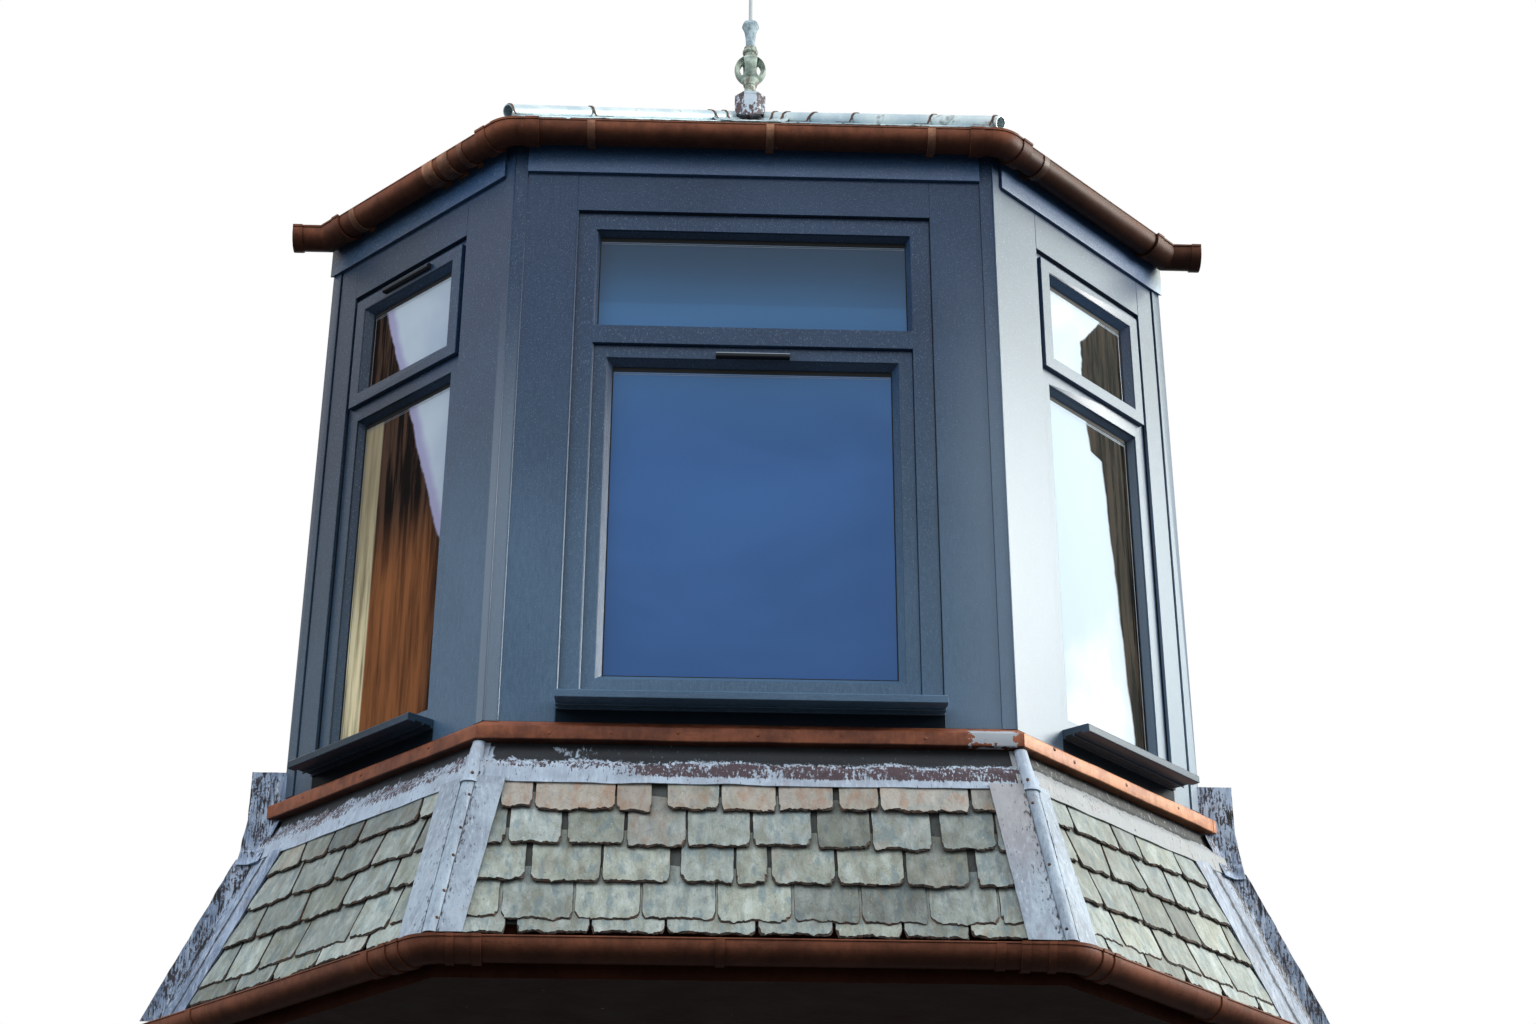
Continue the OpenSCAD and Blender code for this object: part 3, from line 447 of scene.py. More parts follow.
def side_glass():
    """Panes painted with a reflection of the sky, which a soft line divides from painted darkness.
    On the left the line slants, with a painted strip of timber colour beside it. On the right it is
    steep, and slants in the upper pane."""
    f = Finish("glass_side", IOR=1.1, Transmission_Weight=0.25, Specular_IOR_Level=0.02)
    x, _, z = f.axes()
    s = (abs(x) - FRONT_HALF - GLASS_Q * math.sin(CANT)) / math.cos(CANT)
    cloud, grain = f.noise((1.4, 1.4, 0.84), distortion=0.5), f.noise((40, 40, 2.5), 5, 0.6)
    waver = (f.noise(7.0, 3) - 0.5) * 0.05

    # Left panes: a painted reflection of the sky
    left = f.mix(cloud.step(0.35, 0.65), (0.36, 0.44, 0.55), (0.47, 0.55, 0.63))
    slant = s - z * 0.371 + waver + 0.236
    left = f.mix(slant.step(-0.055, -0.02), left, (0.33, 0.33, 0.5))
    # Painted darkness beyond the line, brown low down
    dark = f.mix(grain.step(0.42, 0.62), (0.008, 0.006, 0.006), (0.07, 0.04, 0.028))
    brown = f.mix(grain.step(0.32, 0.68), (0.1, 0.042, 0.02), (0.27, 0.105, 0.042))
    dark = f.mix(z.step(1.75, 1.4) * s.step(0.3, 0.4), dark, brown)
    left = f.mix(slant.step(-0.006, 0.006), left, dark)
    # A painted strip of timber colour, paler low down with painted sunlight
    painted_sunlight = f.mix(z.step(1.9, 1.1), (0.3, 0.26, 0.17), (0.78, 0.7, 0.46))
    beige = f.mix(grain.step(0.25, 0.6), (0.2, 0.17, 0.11), painted_sunlight)
    left = f.mix(s.step(0.662, 0.672) * z.step(2.14, 2.1), left, beige)

    # Right panes: a painted reflection of the sky, cut by painted darkness
    right = f.mix(cloud.step(0.4, 0.62), (0.6, 0.72, 0.82), (0.88, 0.91, 0.93))
    steep = s + z * 0.085 + waver * 0.6 + z.step(1.96, 1.98) * 0.06 - 0.774
    upper = (s + waver - 0.52) & (s * 1.1 + waver - z + 1.808) & (z - 2.2)
    painted_darkness = f.mix(grain.step(0.42, 0.6), (0.01, 0.01, 0.009), (0.05, 0.041, 0.032))
    right = f.mix((steep & (2.2 - z) | upper).step(-0.006, 0.006), right, painted_darkness)
    f.base = f.mix(x > 0, left, right)
    return f.done(0.03, f.noise(2.2, 1), 0.003, 0.1)


def dark_plastic(name, colour, painted_top_light, rough):
    """Moulded plastic that is a little paler where it faces up: a painted light from above."""
    f = Finish(name, Specular_IOR_Level=0.2)
    grit = f.noise(300.0, 2)
    f.base = f.mix(grit, [0.8 * c for c in colour], [1.2 * c for c in colour])
    # Painted light on the faces that look up
    f.lay(f.facing("Z").step(0.2, 0.7), painted_top_light)
    return f.done(grit.spread(rough - 0.05, rough + 0.08), grit, 0.0004, 0.4)


def alloy():
    f = Finish("spacer_alloy", Metallic=0.6)
    drawn = f.noise((400, 400, 12), 3)
    f.base = f.mix(drawn, (0.1, 0.13, 0.17), (0.2, 0.24, 0.29))
    return f.done(drawn.spread(0.3, 0.45))


# The finishes that new pieces wear, too

FOIL = foil("anthracite_foil", (240, 240, 34))
PAINT = brown_paint("brown_paint", (0.1, 0.03, 0.016), (0.27, 0.09, 0.044), 0.3,
                    (0.722, 0.745, 0.075, 0.04))
HIP_LEAD = lead("lead_hip", (0.37, 0.46, 0.55), (0.22, 0.27, 0.34), (0.075, 0.065, 0.08), 0.62,
                (0.33, 0.3, 0.295))
APRON_LEAD = lead("lead_apron", (0.4, 0.49, 0.6), (0.31, 0.37, 0.45), (0.07, 0.05, 0.06), 0.6)
WALL_LEAD = lead("lead_wall", (0.37, 0.46, 0.6), (0.12, 0.17, 0.26), (0.045, 0.042, 0.055), 0.6)
ZINC = zinc()
SLATE = slate("slate", 1.0)
SLATE_EDGE = slate_edge()
RUST = grained("rusty_iron", (0.03, 0.02, 0.018), (0.15, 0.075, 0.045), (90.0, 5), (0.35, 0.65),
               0.8, 0.0015, 0.7)
TIMBER = grained("timber", (0.42, 0.23, 0.1), (0.6, 0.38, 0.18), ((45, 45, 3), 6, 0.6, 0.8),
                 (0.3, 0.7), 0.6, 0.002, 0.4)
VENT = dark_plastic("vent_plastic", (0.012, 0.014, 0.018), (0.2, 0.24, 0.28), 0.4)
RUBBER_AND_PAINTED_SHADOW = dark_plastic("rubber_and_painted_shadow", (0.008, 0.009, 0.01), (0.012, 0.013, 0.015), 0.55)
ALLOY = alloy()

LEVEL_GRAIN = (34, 34, 240)

# A finish, how far the edges of its CAD nodes are rounded, and those nodes

NODE_FINISH = (
    (FOIL, 0.0032, "corner_post_covers"),
    (FOIL, 0.002, "front_jamb_panels side_jamb_panels end_strips wall_trims front_window_frame"
                  " side_window_frames front_sash side_sashes"),
    (foil("anthracite_foil_level", LEVEL_GRAIN), 0.0014,
     "front_head_panel side_head_panels front_sill"),
    # Fascias: the foil twice as bright, a painted light
    (foil("anthracite_foil_eaves_painted_light", LEVEL_GRAIN, 2.0), 0.0014, "front_fascia side_fascias"),
    # Side sills: the foil at half brightness, a painted shade
    (foil("anthracite_foil_sill_painted_shade", LEVEL_GRAIN, 0.5), 0.0014, "side_sills"),
    # Foot panels under the sills: the foil nearly black, a painted shade
    (foil("anthracite_foil_painted_shade", LEVEL_GRAIN, 0.12), 0, "front_foot_panel side_foot_panels"),
    (VENT, 0, "trickle_vents"),
    (front_glass(), 0, "front_glass"),
    (side_glass(), 0, "side_glass"),
    (PAINT, 0, "front_drip_moulding side_drip_mouldings"),
    (brown_paint("gutter_paint", (0.1, 0.037, 0.022), (0.2, 0.072, 0.04), 0.1), 0,
     "lower_gutter_front lower_gutter_sides lower_gutter_angles lower_gutter_straps"
     " upper_gutter_front upper_gutter_sides upper_gutter_angles upper_gutter_wall_angles"),
    (brown_paint("strap_paint", (0.12, 0.05, 0.03), (0.4, 0.2, 0.12), 0.2), 0,
     "upper_gutter_straps"),
    (brown_paint("soffit_paint", (0.03, 0.01, 0.006), (0.05, 0.017, 0.01), 0.02), 0,
     "front_lower_fascia side_lower_fascias soffit_board"),
    (APRON_LEAD, 0, "front_lead_apron side_lead_aprons"),
    (HIP_LEAD, 0, "lead_hips"),
    (WALL_LEAD, 0, "lead_abutments"),
    (block_lead(), 0, "finial_block"),
    (ZINC, 0, "hip_rolls roof_end_flashings"),
    # Boards and roof faces under the slates: slate at a third of its brightness, a painted shade
    (slate("slate_painted_shade", 0.35), 0, "front_skirt side_skirts front_roof_slope side_roof_slopes"),
    (painted_iron(), 0, "finial finial_crown"),
    (TIMBER, 0, "floor_platform front_spandrel side_spandrels corner_studs wall_studs"
                " front_head_beam side_head_beams"),
    (white_lining(), 0, "ceiling_board window_boards"),
)


def soften(node, width):
    """Rounds a CAD node's edges a little, so that they catch the light."""
    weld = node.modifiers.new("weld", "WELD")
    weld.merge_threshold = 0.00002
    bevel = node.modifiers.new("edges", "BEVEL")
    bevel.width = width
    bevel.segments = 2
    bevel.limit_method = "ANGLE"
    bevel.angle_limit = math.radians(35)
    bevel.harden_normals = True


for finish, edge, names in NODE_FINISH:
    for name in names.split():
        NODES[name].data.materials.clear()
        NODES[name].data.materials.append(finish)
        if edge:
            soften(NODES[name], edge)


# Mesh pieces


def bands(n, count):
    """The faces between neighbours of count rings, each of n points."""
    return [(k * n + i, k * n + (i + 1) % n, (k + 1) * n + (i + 1) % n, (k + 1) * n + i)
            for k in range(count - 1) for i in range(n)]


class Shape:
    """Points, faces, a tint for each point and the number of a finish for each face."""

    def __init__(self):
        self.points, self.faces, self.tints, self.finishes = [], [], [], []

    def add(self, points, faces, tint=(0.0, 0.0, 0.0), finish=0):
        start = len(self.points)
        self.points += points
        self.faces += [tuple(start + i for i in face) for face in faces]
        self.tints += tint if isinstance(tint, list) else [tint] * len(points)
        self.finishes += finish if isinstance(finish, list) else [finish] * len(faces)

    def sweep(self, rings, tint=(0.0, 0.0, 0.0), finish=0):
        """A closed tube through rings of points, with its two ends closed."""
        n, count = len(rings[0]), len(rings)
        ends = [tuple(reversed(range(n))), tuple(range((count - 1) * n, count * n))]
        self.add([p for ring in rings for p in ring], bands(n, count) + ends, tint, finish)

    def climb(self, section, z0, z1, count):
        """A tube of level rings, whose points and tints section(z) gives."""
        sections = [section(blend(z0, z1, i / count)) for i in range(count + 1)]
        self.sweep([points for points, _ in sections], [t for _, tints in sections for t in tints])

    def dome(self, middle, normal, radius, height):
        """The round head of a nail."""
        side = normal.orthogonal().normalized()
        other = normal.cross(side)
        rings = []
        for turn in (-0.3, 0.0, 0.35, 0.7, 1.05, 1.4):
            ring_r = radius * math.cos(turn)
            rings.append([middle + normal * (height * math.sin(turn))
                          + side * (ring_r * math.cos(a)) + other * (ring_r * math.sin(a))
                          for a in [math.tau * i / 12 for i in range(12)]])
        self.sweep(rings)


def add_object(name, data):
    made = bpy.data.objects.new(name, data)
    bpy.context.scene.collection.objects.link(made)
    return made


def piece(name, shape, finishes, smooth=None, replaced=None):
    """An object that rides on the part's one body, and may stand for a CAD node."""
    mesh = bpy.data.meshes.new(name)
    mesh.from_pydata([tuple(p) for p in shape.points], [], shape.faces)
    for finish in finishes:
        mesh.materials.append(finish)
    mesh.polygons.foreach_set("material_index", shape.finishes)
    tint = mesh.color_attributes.new("tint", "FLOAT_COLOR", "POINT")
    tint.data.foreach_set("color", [c for colour in shape.tints for c in (*colour, 1)])
    tidy = bmesh.new()
    tidy.from_mesh(mesh)
    bmesh.ops.recalc_face_normals(tidy, faces=tidy.faces)
    tidy.to_mesh(mesh)
    tidy.free()
    if smooth:
        mesh.polygons.foreach_set("use_smooth", [True] * len(mesh.polygons))
        mesh.set_sharp_from_angle(angle=math.radians(smooth))
    made = add_object(name, mesh)
    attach(made, "root")
    if replaced:
        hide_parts(replaced)


# Slates

SLATE_T = 0.0118
SLATE_DROP = 0.098
SLATE_GAUGE = 0.128


class Slope:
    """A sloping face over a facet: t runs up it from its foot, c out of it."""

    def __init__(self, facet, foot_q, foot_z, angle):
        self.facet = facet
        self.foot = facet.point(0, foot_q, foot_z)
        self.up = UP * math.sin(angle) - facet.out * math.cos(angle)
        self.out = UP * math.cos(angle) + facet.out * math.sin(angle)
        self.run = math.cos(angle)
        self.foot_q = foot_q

    def point(self, s, t, c):
        return self.foot + self.facet.along * s + self.up * t + self.out * c

    def offset(self, t):
        return self.foot_q - t * self.run


def clip(outline, inside):
    """Cuts an outline of (s, t) points to where inside(s, t) is 0 or more, for a straight edge."""
    kept = []
    for a, b in zip(outline, outline[1:] + outline[:1]):
        da, db = inside(*a), inside(*b)
        if da >= 0:
            kept.append(a)
        if (da < 0) != (db < 0):
            k = da / (da - db)
            kept.append((blend(a[0], b[0], k), blend(a[1], b[1], k)))
    return kept


def slate_outline(corners, tail):
    """Close points along the tail, wider ones up the sides and few along the hidden head."""
    points = []
    for a, b in zip(corners, corners[1:] + corners[:1]):
        low, high = min(a[1], b[1]) - tail, max(a[1], b[1]) - tail
        step = 0.006 if high < 0.03 else 0.016 if low < 0.12 else 0.1
        count = max(1, round(math.dist(a, b) / step))
        points += [(blend(a[0], b[0], i / count), blend(a[1], b[1], i / count))
                   for i in range(count)]
    return points


def heart(outline):
    return (sum(s for s, _ in outline) / len(outline),
            (min(t for _, t in outline) + max(t for _, t in outline)) / 2)


def inset(outline, amounts):
    """Moves each point of an anticlockwise outline towards its middle, so far that the edge there
    goes inward by the point's own amount."""
    middle_s, middle_t = heart(outline)
    moved = []
    for i, (s, t) in enumerate(outline):
        before, after = outline[i - 1], outline[(i + 1) % len(outline)]
        ds, dt = after[0] - before[0], after[1] - before[1]
        depth = (ds * (middle_t - t) - dt * (middle_s - s)) / (math.hypot(ds, dt) or 1)
        k = min(0.6, amounts[i] / max(0.01, depth))
        moved.append((blend(s, middle_s, k), blend(t, middle_t, k)))
    return moved


def add_slate(shape, rng, slope, corners, tail, lift, stain):
    """One riven slate. Its tail is ragged, with a split layer that stands back from the edge, and
    its head lies lower than its tail, under the slates above."""
    seed = rng.uniform(0, 90)
    outline = slate_outline(corners, tail)
    left, right = min(s for s, _ in outline), max(s for s, _ in outline)
    chips = rng.uniform(0.001, 0.007), rng.uniform(0.001, 0.007)
    lift += rng.uniform(0, 0.001)
    roll = rng.uniform(-0.014, 0.014)
    split = rng.choice((0.4, 1.0, 1.5))

    def point(s, t, depth):
        level = lift - (t - tail) * SLATE_DROP - SLATE_T * depth
        return slope.point(s, t, level + roll * (s - (left + right) / 2))

    insets = []
    for s, t in outline:
        near = max(0.0, 1 - (t - tail) / 0.03)
        broad = 0.5 + wobble(s * 22, t * 22, seed)
        fine = 0.5 + wobble(s * 110, t * 110, seed)
        chip = sum(0.8 * size * max(0.0, 1 - gap / (1.5 * size))
                   for size, gap in zip(chips, (s - left, right - s)))
        foot = 1.0 if t < tail + 0.001 else 0.2
        edge = 0.0003 + 0.0014 * broad + near * (foot * (0.008 * broad + 0.004 * fine) + chip)
        worn = 0.45 + 0.9 * wobble(s * 48, t * 48, seed + 7) + 0.4 * wobble(s * 150, 2.2, seed)
        top = edge + min(0.006, 0.0007 + (0.002 + 0.008 * near) * max(0.0, worn))
        layer = 0.4 + wobble(s * 17, 3.3, seed + 5) + 0.4 * wobble(s * 70, 1.7, seed)
        ledge = edge + 0.0009 + near * split * 0.006 * max(0.0, layer)
        insets.append((top, edge, ledge, ledge + 0.0006))
    points = []
    for amounts, depth in zip(zip(*insets), (0.0, 0.38, 0.55, 1.0)):
        points += [point(s, t, depth) for s, t in inset(outline, amounts)]
    points.append(point(*heart(outline), 0.0))
    n = len(outline)
    fan = [((i + 1) % n, i, 4 * n) for i in range(n)]
    tone = min(1.0, max(0.0, rng.gauss(0.5, 0.24)))
    shape.add(points, fan + bands(n, 4) + [tuple(range(3 * n, 4 * n))],
              (rng.random(), tone, stain), [0] * n + [1] * (3 * n + 1))


def metres(row):
    """The places of a row, where one number stands for two that are the same."""
    return [[v / 1000 for v in (place if isinstance(place, tuple) else (place, place))]
            for place in row]


def upright(places):
    """Slates with upright sides, from their left and right edges and the odd raised tail."""
    return [(a, b, a, b, rise[0] if rise else 0) for a, b, *rise in places]


def between_joints(joints):
    """Slates between joints, each given as its place at the top of the row and at the tail."""
    half = 0.003
    return [(a[1] + half, b[1] - half, a[0] + half, b[0] - half, 0)
            for a, b in zip(joints, joints[1:])]


def lay_courses(name, slope, courses, edges, head_limit, lift, seed):
    """Rows of slates. A row is the height of its tails, its slates and how stained they are. A
    slate is its left and right edge at the tail, the same two where the next row covers it, and how
    far its tail stands above the row's line."""
    rng = random.Random(seed)
    shape = Shape()
    for row_tail, slates, row_stain in courses:
        for left, right, top_left, top_right, rise in slates:
            tail = row_tail + rise + rng.gauss(0, 0.0015)
            head = min(tail + 2 * SLATE_GAUGE + 0.04, head_limit)
            reach = (head - tail) / SLATE_GAUGE
            corners = [(left, tail), (right, tail), (blend(right, top_right, reach), head),
                       (blend(left, top_left, reach), head)]
            for inside in edges:
                corners = clip(corners, inside)
            places = [s for s, _ in corners]
            if len(corners) < 3 or max(places) - min(places) < 0.01:
                continue
            stain = 0.5 * rng.random() ** 6
            if row_stain:
                stain = row_stain * rng.uniform(0.75, 1.2)
            add_slate(shape, rng, slope, corners, tail, lift, stain)
    piece(name, shape, (SLATE, SLATE_EDGE))


# Rows of slates from the top, in millimetres, read off the photograph. A row is the height of its
# tails, how stained it is, and on the front the left and right edge of each slate, with the odd
# raised tail. On a side it is joints: the place at the top of the row and at the tails, or one
# number where they are the same.

FRONT_ROWS = (
    (460, 0.8, ((-730, -636, 8), (-631, -396, -6), (-394, -289, -8), (-246, -92, 4), (-88, 75, -3),
                (79, 241, 4), (256, 375, 7), (377, 641, 6), (646, 740, 13))),
    (335, None, ((-800, -706), (-699, -546), (-531, -366), (-360, -188), (-186, -2), (3, 175, 5),
                 (190, 346), (349, 522, -4), (548, 708), (711, 800))),
    (211, None, ((-800, -643), (-628, -429), (-425, -231), (-204, -49), (-45, 47), (56, 240),
                 (244, 437), (442, 624), (644, 800))),
    (86, None, ((-850, -709), (-704, -502), (-499, -313), (-310, -100), (-97, 113), (119, 305),
                (310, 498), (502, 699), (702, 800))),
    (40, 0.3, ((-850, -686), (-656, -452), (-449, -242), (-239, 12), (17, 228), (233, 423),
               (426, 610), (613, 820))),
)
RIGHT_ROWS = (
    (462, None, (-60, (149, 134), (366, 360), (493, 480), (696, 692), 1000)),
    (336, None, (-60, (94, 99), (271, 248), (430, 445), (588, 576), (722, 714), 1000)),
    (210, None, (-60, (141, 145), (348, 339), (508, 512), (639, 645), (826, 819), 1000)),
    (90, None, (-90, 175, 380, (560, 572), (728, 745), 1020)),
    (40, None, (-90, 80, 270, 470, 660, 850, 1040)),
)
LEFT_ROWS = (
    (470, 0.45, (-60, (185, 154), (447, 440), (594, 590), (739, 716), (1000, 1020))),
    (350, None, (-60, 124, (311, 322), (504, 497), (707, 700), (1000, 1020))),
    (235, None, (-80, (181, 173), (391, 398), (602, 585), (814, 810), (1040, 1060))),
    (105, None, (-90, 112, (289, 295), (538, 547), (719, 720), (880, 885), (1080, 1100))),
    (45, None, (-90, 190, 410, 620, 800, (1100, 1120))),
)

SKIRT_ANGLE = math.atan2(1, SKIRT_LEAN)
SKIRT_RISE = math.sin(SKIRT_ANGLE)
UNDER_WING = 0.03
SLATE_END = {RIGHT: (0.948, 0.809), LEFT: (1.02, 0.856)}


def skirt_t(z):
    """How far up the skirt a height is, from the skirt's foot."""
    return (z - SKIRT_FOOT) / SKIRT_RISE


def slate_end(facet, z):
    """Where the slates of a side stop beside the wall: a line down its skirt."""
    return blend(*SLATE_END[facet], (z - 0.1) / 0.46)


def lay_skirt(facet, rows, seed):
    slope = Slope(facet, skirt_q(SKIRT_FOOT), SKIRT_FOOT, SKIRT_ANGLE)
    if facet is FRONT:
        slates = upright
        edges = [lambda s, t, way=way: front_half(slope.offset(t)) - UNDER_WING - way * s
                 for way in (1, -1)]
    else:
        slates = between_joints
        edges = [lambda s, t: s + slope.offset(t) * MITRE - UNDER_WING,
                 lambda s, t: slate_end(facet, SKIRT_FOOT + t * SKIRT_RISE) - s]
    courses = [(skirt_t(z / 1000), slates(metres(row)), stain) for z, stain, row in rows]
    lay_courses(facet.name + "_skirt_slates", slope, courses, edges,
                skirt_t(APRON_FOOT + 0.065), 0.008, seed)


def roof_hip_s(q):
    """Where the roof's hip passes over a side, out at q."""
    return blend(-0.02485, -0.087, (ROOF_EDGE_Q - q) / (ROOF_EDGE_Q + WALL_HALF * math.sin(CANT)))


def lay_roof(facet, seed):
    """Slates on one face of the roof, up to the zinc of the hips and the flashing at the wall."""
    reach = PROJECTION if facet is FRONT else WALL_HALF * math.sin(CANT)
    angle = math.atan2(APEX_Z - ROOF_EDGE_Z, reach + ROOF_EDGE_Q)
    slope = Slope(facet, ROOF_EDGE_Q, ROOF_EDGE_Z, angle)
    length = (APEX_Z - ROOF_EDGE_Z) / math.sin(angle)
    rng = random.Random(seed)
    courses, t = [], -0.018
    while t < length - 0.05:
        joints, s = [], -1.1 + rng.uniform(0, 0.15)
        while s < 1.3:
            joints.append((s, s + rng.uniform(-0.008, 0.008)))
            s += rng.uniform(0.13, 0.23)
        courses.append((t, between_joints(joints), None))
        t += SLATE_GAUGE
    if facet is FRONT:
        half_slope = front_half(ROOF_EDGE_Q) / (PROJECTION + ROOF_EDGE_Q)
        edges = [lambda s, t, way=way: half_slope * (slope.offset(t) + PROJECTION) - 0.098 - way * s
                 for way in (1, -1)]
    else:
        edges = [lambda s, t: s - roof_hip_s(slope.offset(t)) - 0.06,
                 lambda s, t: SIDE_LENGTH + slope.offset(t) - 0.085 - s]
    lay_courses(facet.name + "_roof_slates", slope, courses, edges, length, 0.0115, seed)


for facet, rows, seed in ((FRONT, FRONT_ROWS, 11), (RIGHT, RIGHT_ROWS, 12), (LEFT, LEFT_ROWS, 13)):
    lay_skirt(facet, rows, seed)
    lay_roof(facet, seed + 20)


# Drip moulding and lead sheets

APRON_STEPS = 26
LEAD_T = 0.004
UPSTAND = 0.06
UPSTAND_FOOT = 0.553
CAP_FOOT, CAP_TOP = 0.556, 0.704
# The tint of the backs of sheets: dirty, and black with painted shade
DIRT_AND_PAINTED_SHADE = (1, 0, 1)


def run_rings(facet, outline, count, start=0.0, end=1.0):
    """Rings of a profile along a facet, mitred at the corners and cut at the wall. The outline
    gives the profile's (q, z) points at a distance s."""
    rings = []
    for i in range(count + 1):
        u = blend(start, end, i / count)
        if facet is FRONT:
            across = 2 * u - 1
            ring = [(across * front_half(q), q, z) for q, z in outline(across * FRONT_HALF)]
        else:
            ring = [(blend(-q * MITRE, SIDE_LENGTH + q - 0.0005, u), q, z)
                    for q, z in outline(u * SIDE_LENGTH)]
        rings.append([facet.point(*place) for place in ring])
    return rings


def moulding_outline(seed):
    """The moulding's profile with the slow waves of an old lead-covered board."""
    foot = MOULD_TOP - MOULD_H
    nose = [(0.005 * (math.sin(a) - 1), 0.005 * (1 - math.cos(a)))
            for a in (0, 0.5, 1.05, math.pi / 2)]
    face = [(MOULD_OUT + dq, foot + dz) for dq, dz in nose]
    face += [(MOULD_OUT + dq, MOULD_TOP - 0.026 - dz) for dq, dz in reversed(nose)]

    def outline(s):
        rise = 0.0022 * wobble(s * 3.1, 1, seed) + 0.0012 * wobble(s * 13, 2, seed)
        out = 0.002 * wobble(s * 4.3, 3, seed) + 0.0008 * wobble(s * 21, 4, seed) - 0.0008
        ring = [(-PANEL_T, foot)] + [(q + out, z + rise) for q, z in face]
        return ring + [(0.004, MOULD_TOP - 0.003), (0.001, MOULD_TOP), (-PANEL_T, MOULD_TOP)]

    return outline


def mouldings():
    """The side mouldings are in two lengths with a joint near the wall, the right one more orange.
    """
    front, sides = Shape(), Shape()
    front.sweep(run_rings(FRONT, moulding_outline(3.0), 160))
    joint = 1 - 0.023 / SIDE_LENGTH
    for facet, seed, tint in ((RIGHT, 8.0, (0, 1, 0)), (LEFT, 15.0, (0, 0, 0))):
        sides.sweep(run_rings(facet, moulding_outline(seed), 90, 0, joint), tint)
        sides.sweep(run_rings(facet, moulding_outline(seed + 3), 3, joint + 0.0016, 1), tint)
    piece("front_moulding", front, (PAINT,), 40, "front_drip_moulding")
    piece("side_mouldings", sides, (PAINT,), 40, "side_drip_mouldings")


def apron_outline(seed):
    """A sheet that hangs down the boards and swells over the slates to a wavy rim."""

    def outline(s):
        foot = APRON_FOOT + 0.005 * wobble(s * 2.3, 5, seed) + 0.0035 * wobble(s * 9, 6, seed)
        ring, back = [], []
        for i in range(APRON_STEPS + 1):
            k = i / APRON_STEPS
            z = blend(SKIRT_TOP, foot, k)
            swell = ease(k, 0.3, 0.6)
            lift = blend(LEAD_T - SLATE_BED, 0.0045, swell)
            lift += 0.0035 * swell * (1 - ease(k, 0.62, 0.95))
            dent = 0.0022 * wobble(s * 11, k * 2.5, seed) + 0.0012 * wobble(s * 37, k * 6, seed + 2)
            ring.append((skirt_q(z) + lift + dent * (0.3 + swell), z))
            if i in (0, 8, 14, 20):
                back.append((skirt_q(z) - SLATE_BED - 0.002, z))
        back.append((ring[-1][0] - 0.0042, foot - 0.0006))
        return ring + back[::-1]

    return outline


def apron_tint(facet, p, k):
    """The tint at a point that is k of the way down: painted shade in the hollow under the
    moulding, a speckled dark band above the rim on the front and the left, and specks where the
    hollow ends."""
    ragged = 0.07 * wobble(p.x * 9, p.y * 9, 3) + 0.05 * wobble(p.x * 60, p.y * 60, 5)
    low, high = {FRONT: (0.36, 0.56), LEFT: (0.16, 0.36), RIGHT: (0.37, 0.43)}[facet]
    # The hollow under the moulding: painted shade with a ragged lower edge
    hollow = 1 - ease(k, low + 1.5 * ragged, high + 1.5 * ragged)
    if facet is RIGHT:
        return 0.1, 0.85, min(1.0, 0.8 * hollow)
    comb = 0.36 * ease(k, 0.4, 0.5) * (1 - ease(k, 0.6, 0.76))
    if facet is LEFT:
        band = 0.36 * ease(k, 0.16 + ragged, 0.3 + ragged) * (1 - ease(k, 0.6, 0.8))
    else:
        band = ease(k, 0.48 + ragged, 0.54 + ragged) * (1 - ease(k, 0.8, 0.9))
        band *= 0.5 * ease(p.x + 0.2 * wobble(p.x * 5, 1, 2), -0.5, -0.3)
        # Pale patches break the painted shade on the front's left
        pale = ease(-p.x, 0.42, 0.62) * ease(wobble(p.x * 16, k * 2, 12.0), 0.0, 0.2)
        hollow *= 1 - 0.9 * pale * (k > 0.1)
    return max(comb, band), 0.0, min(1.0, hollow)


def aprons():
    front, sides = Shape(), Shape()
    for shape, facet, seed, count in ((front, FRONT, 21.0, 230), (sides, RIGHT, 27.0, 130),
                                      (sides, LEFT, 33.0, 130)):
        rings = run_rings(facet, apron_outline(seed), count)
        shape.sweep(rings, [apron_tint(facet, p, min(1.0, i / APRON_STEPS))
                            for ring in rings for i, p in enumerate(ring)])
    piece("front_apron", front, (APRON_LEAD,), 50, "front_lead_apron")
    piece("side_aprons", sides, (APRON_LEAD,), 50, "side_lead_aprons")


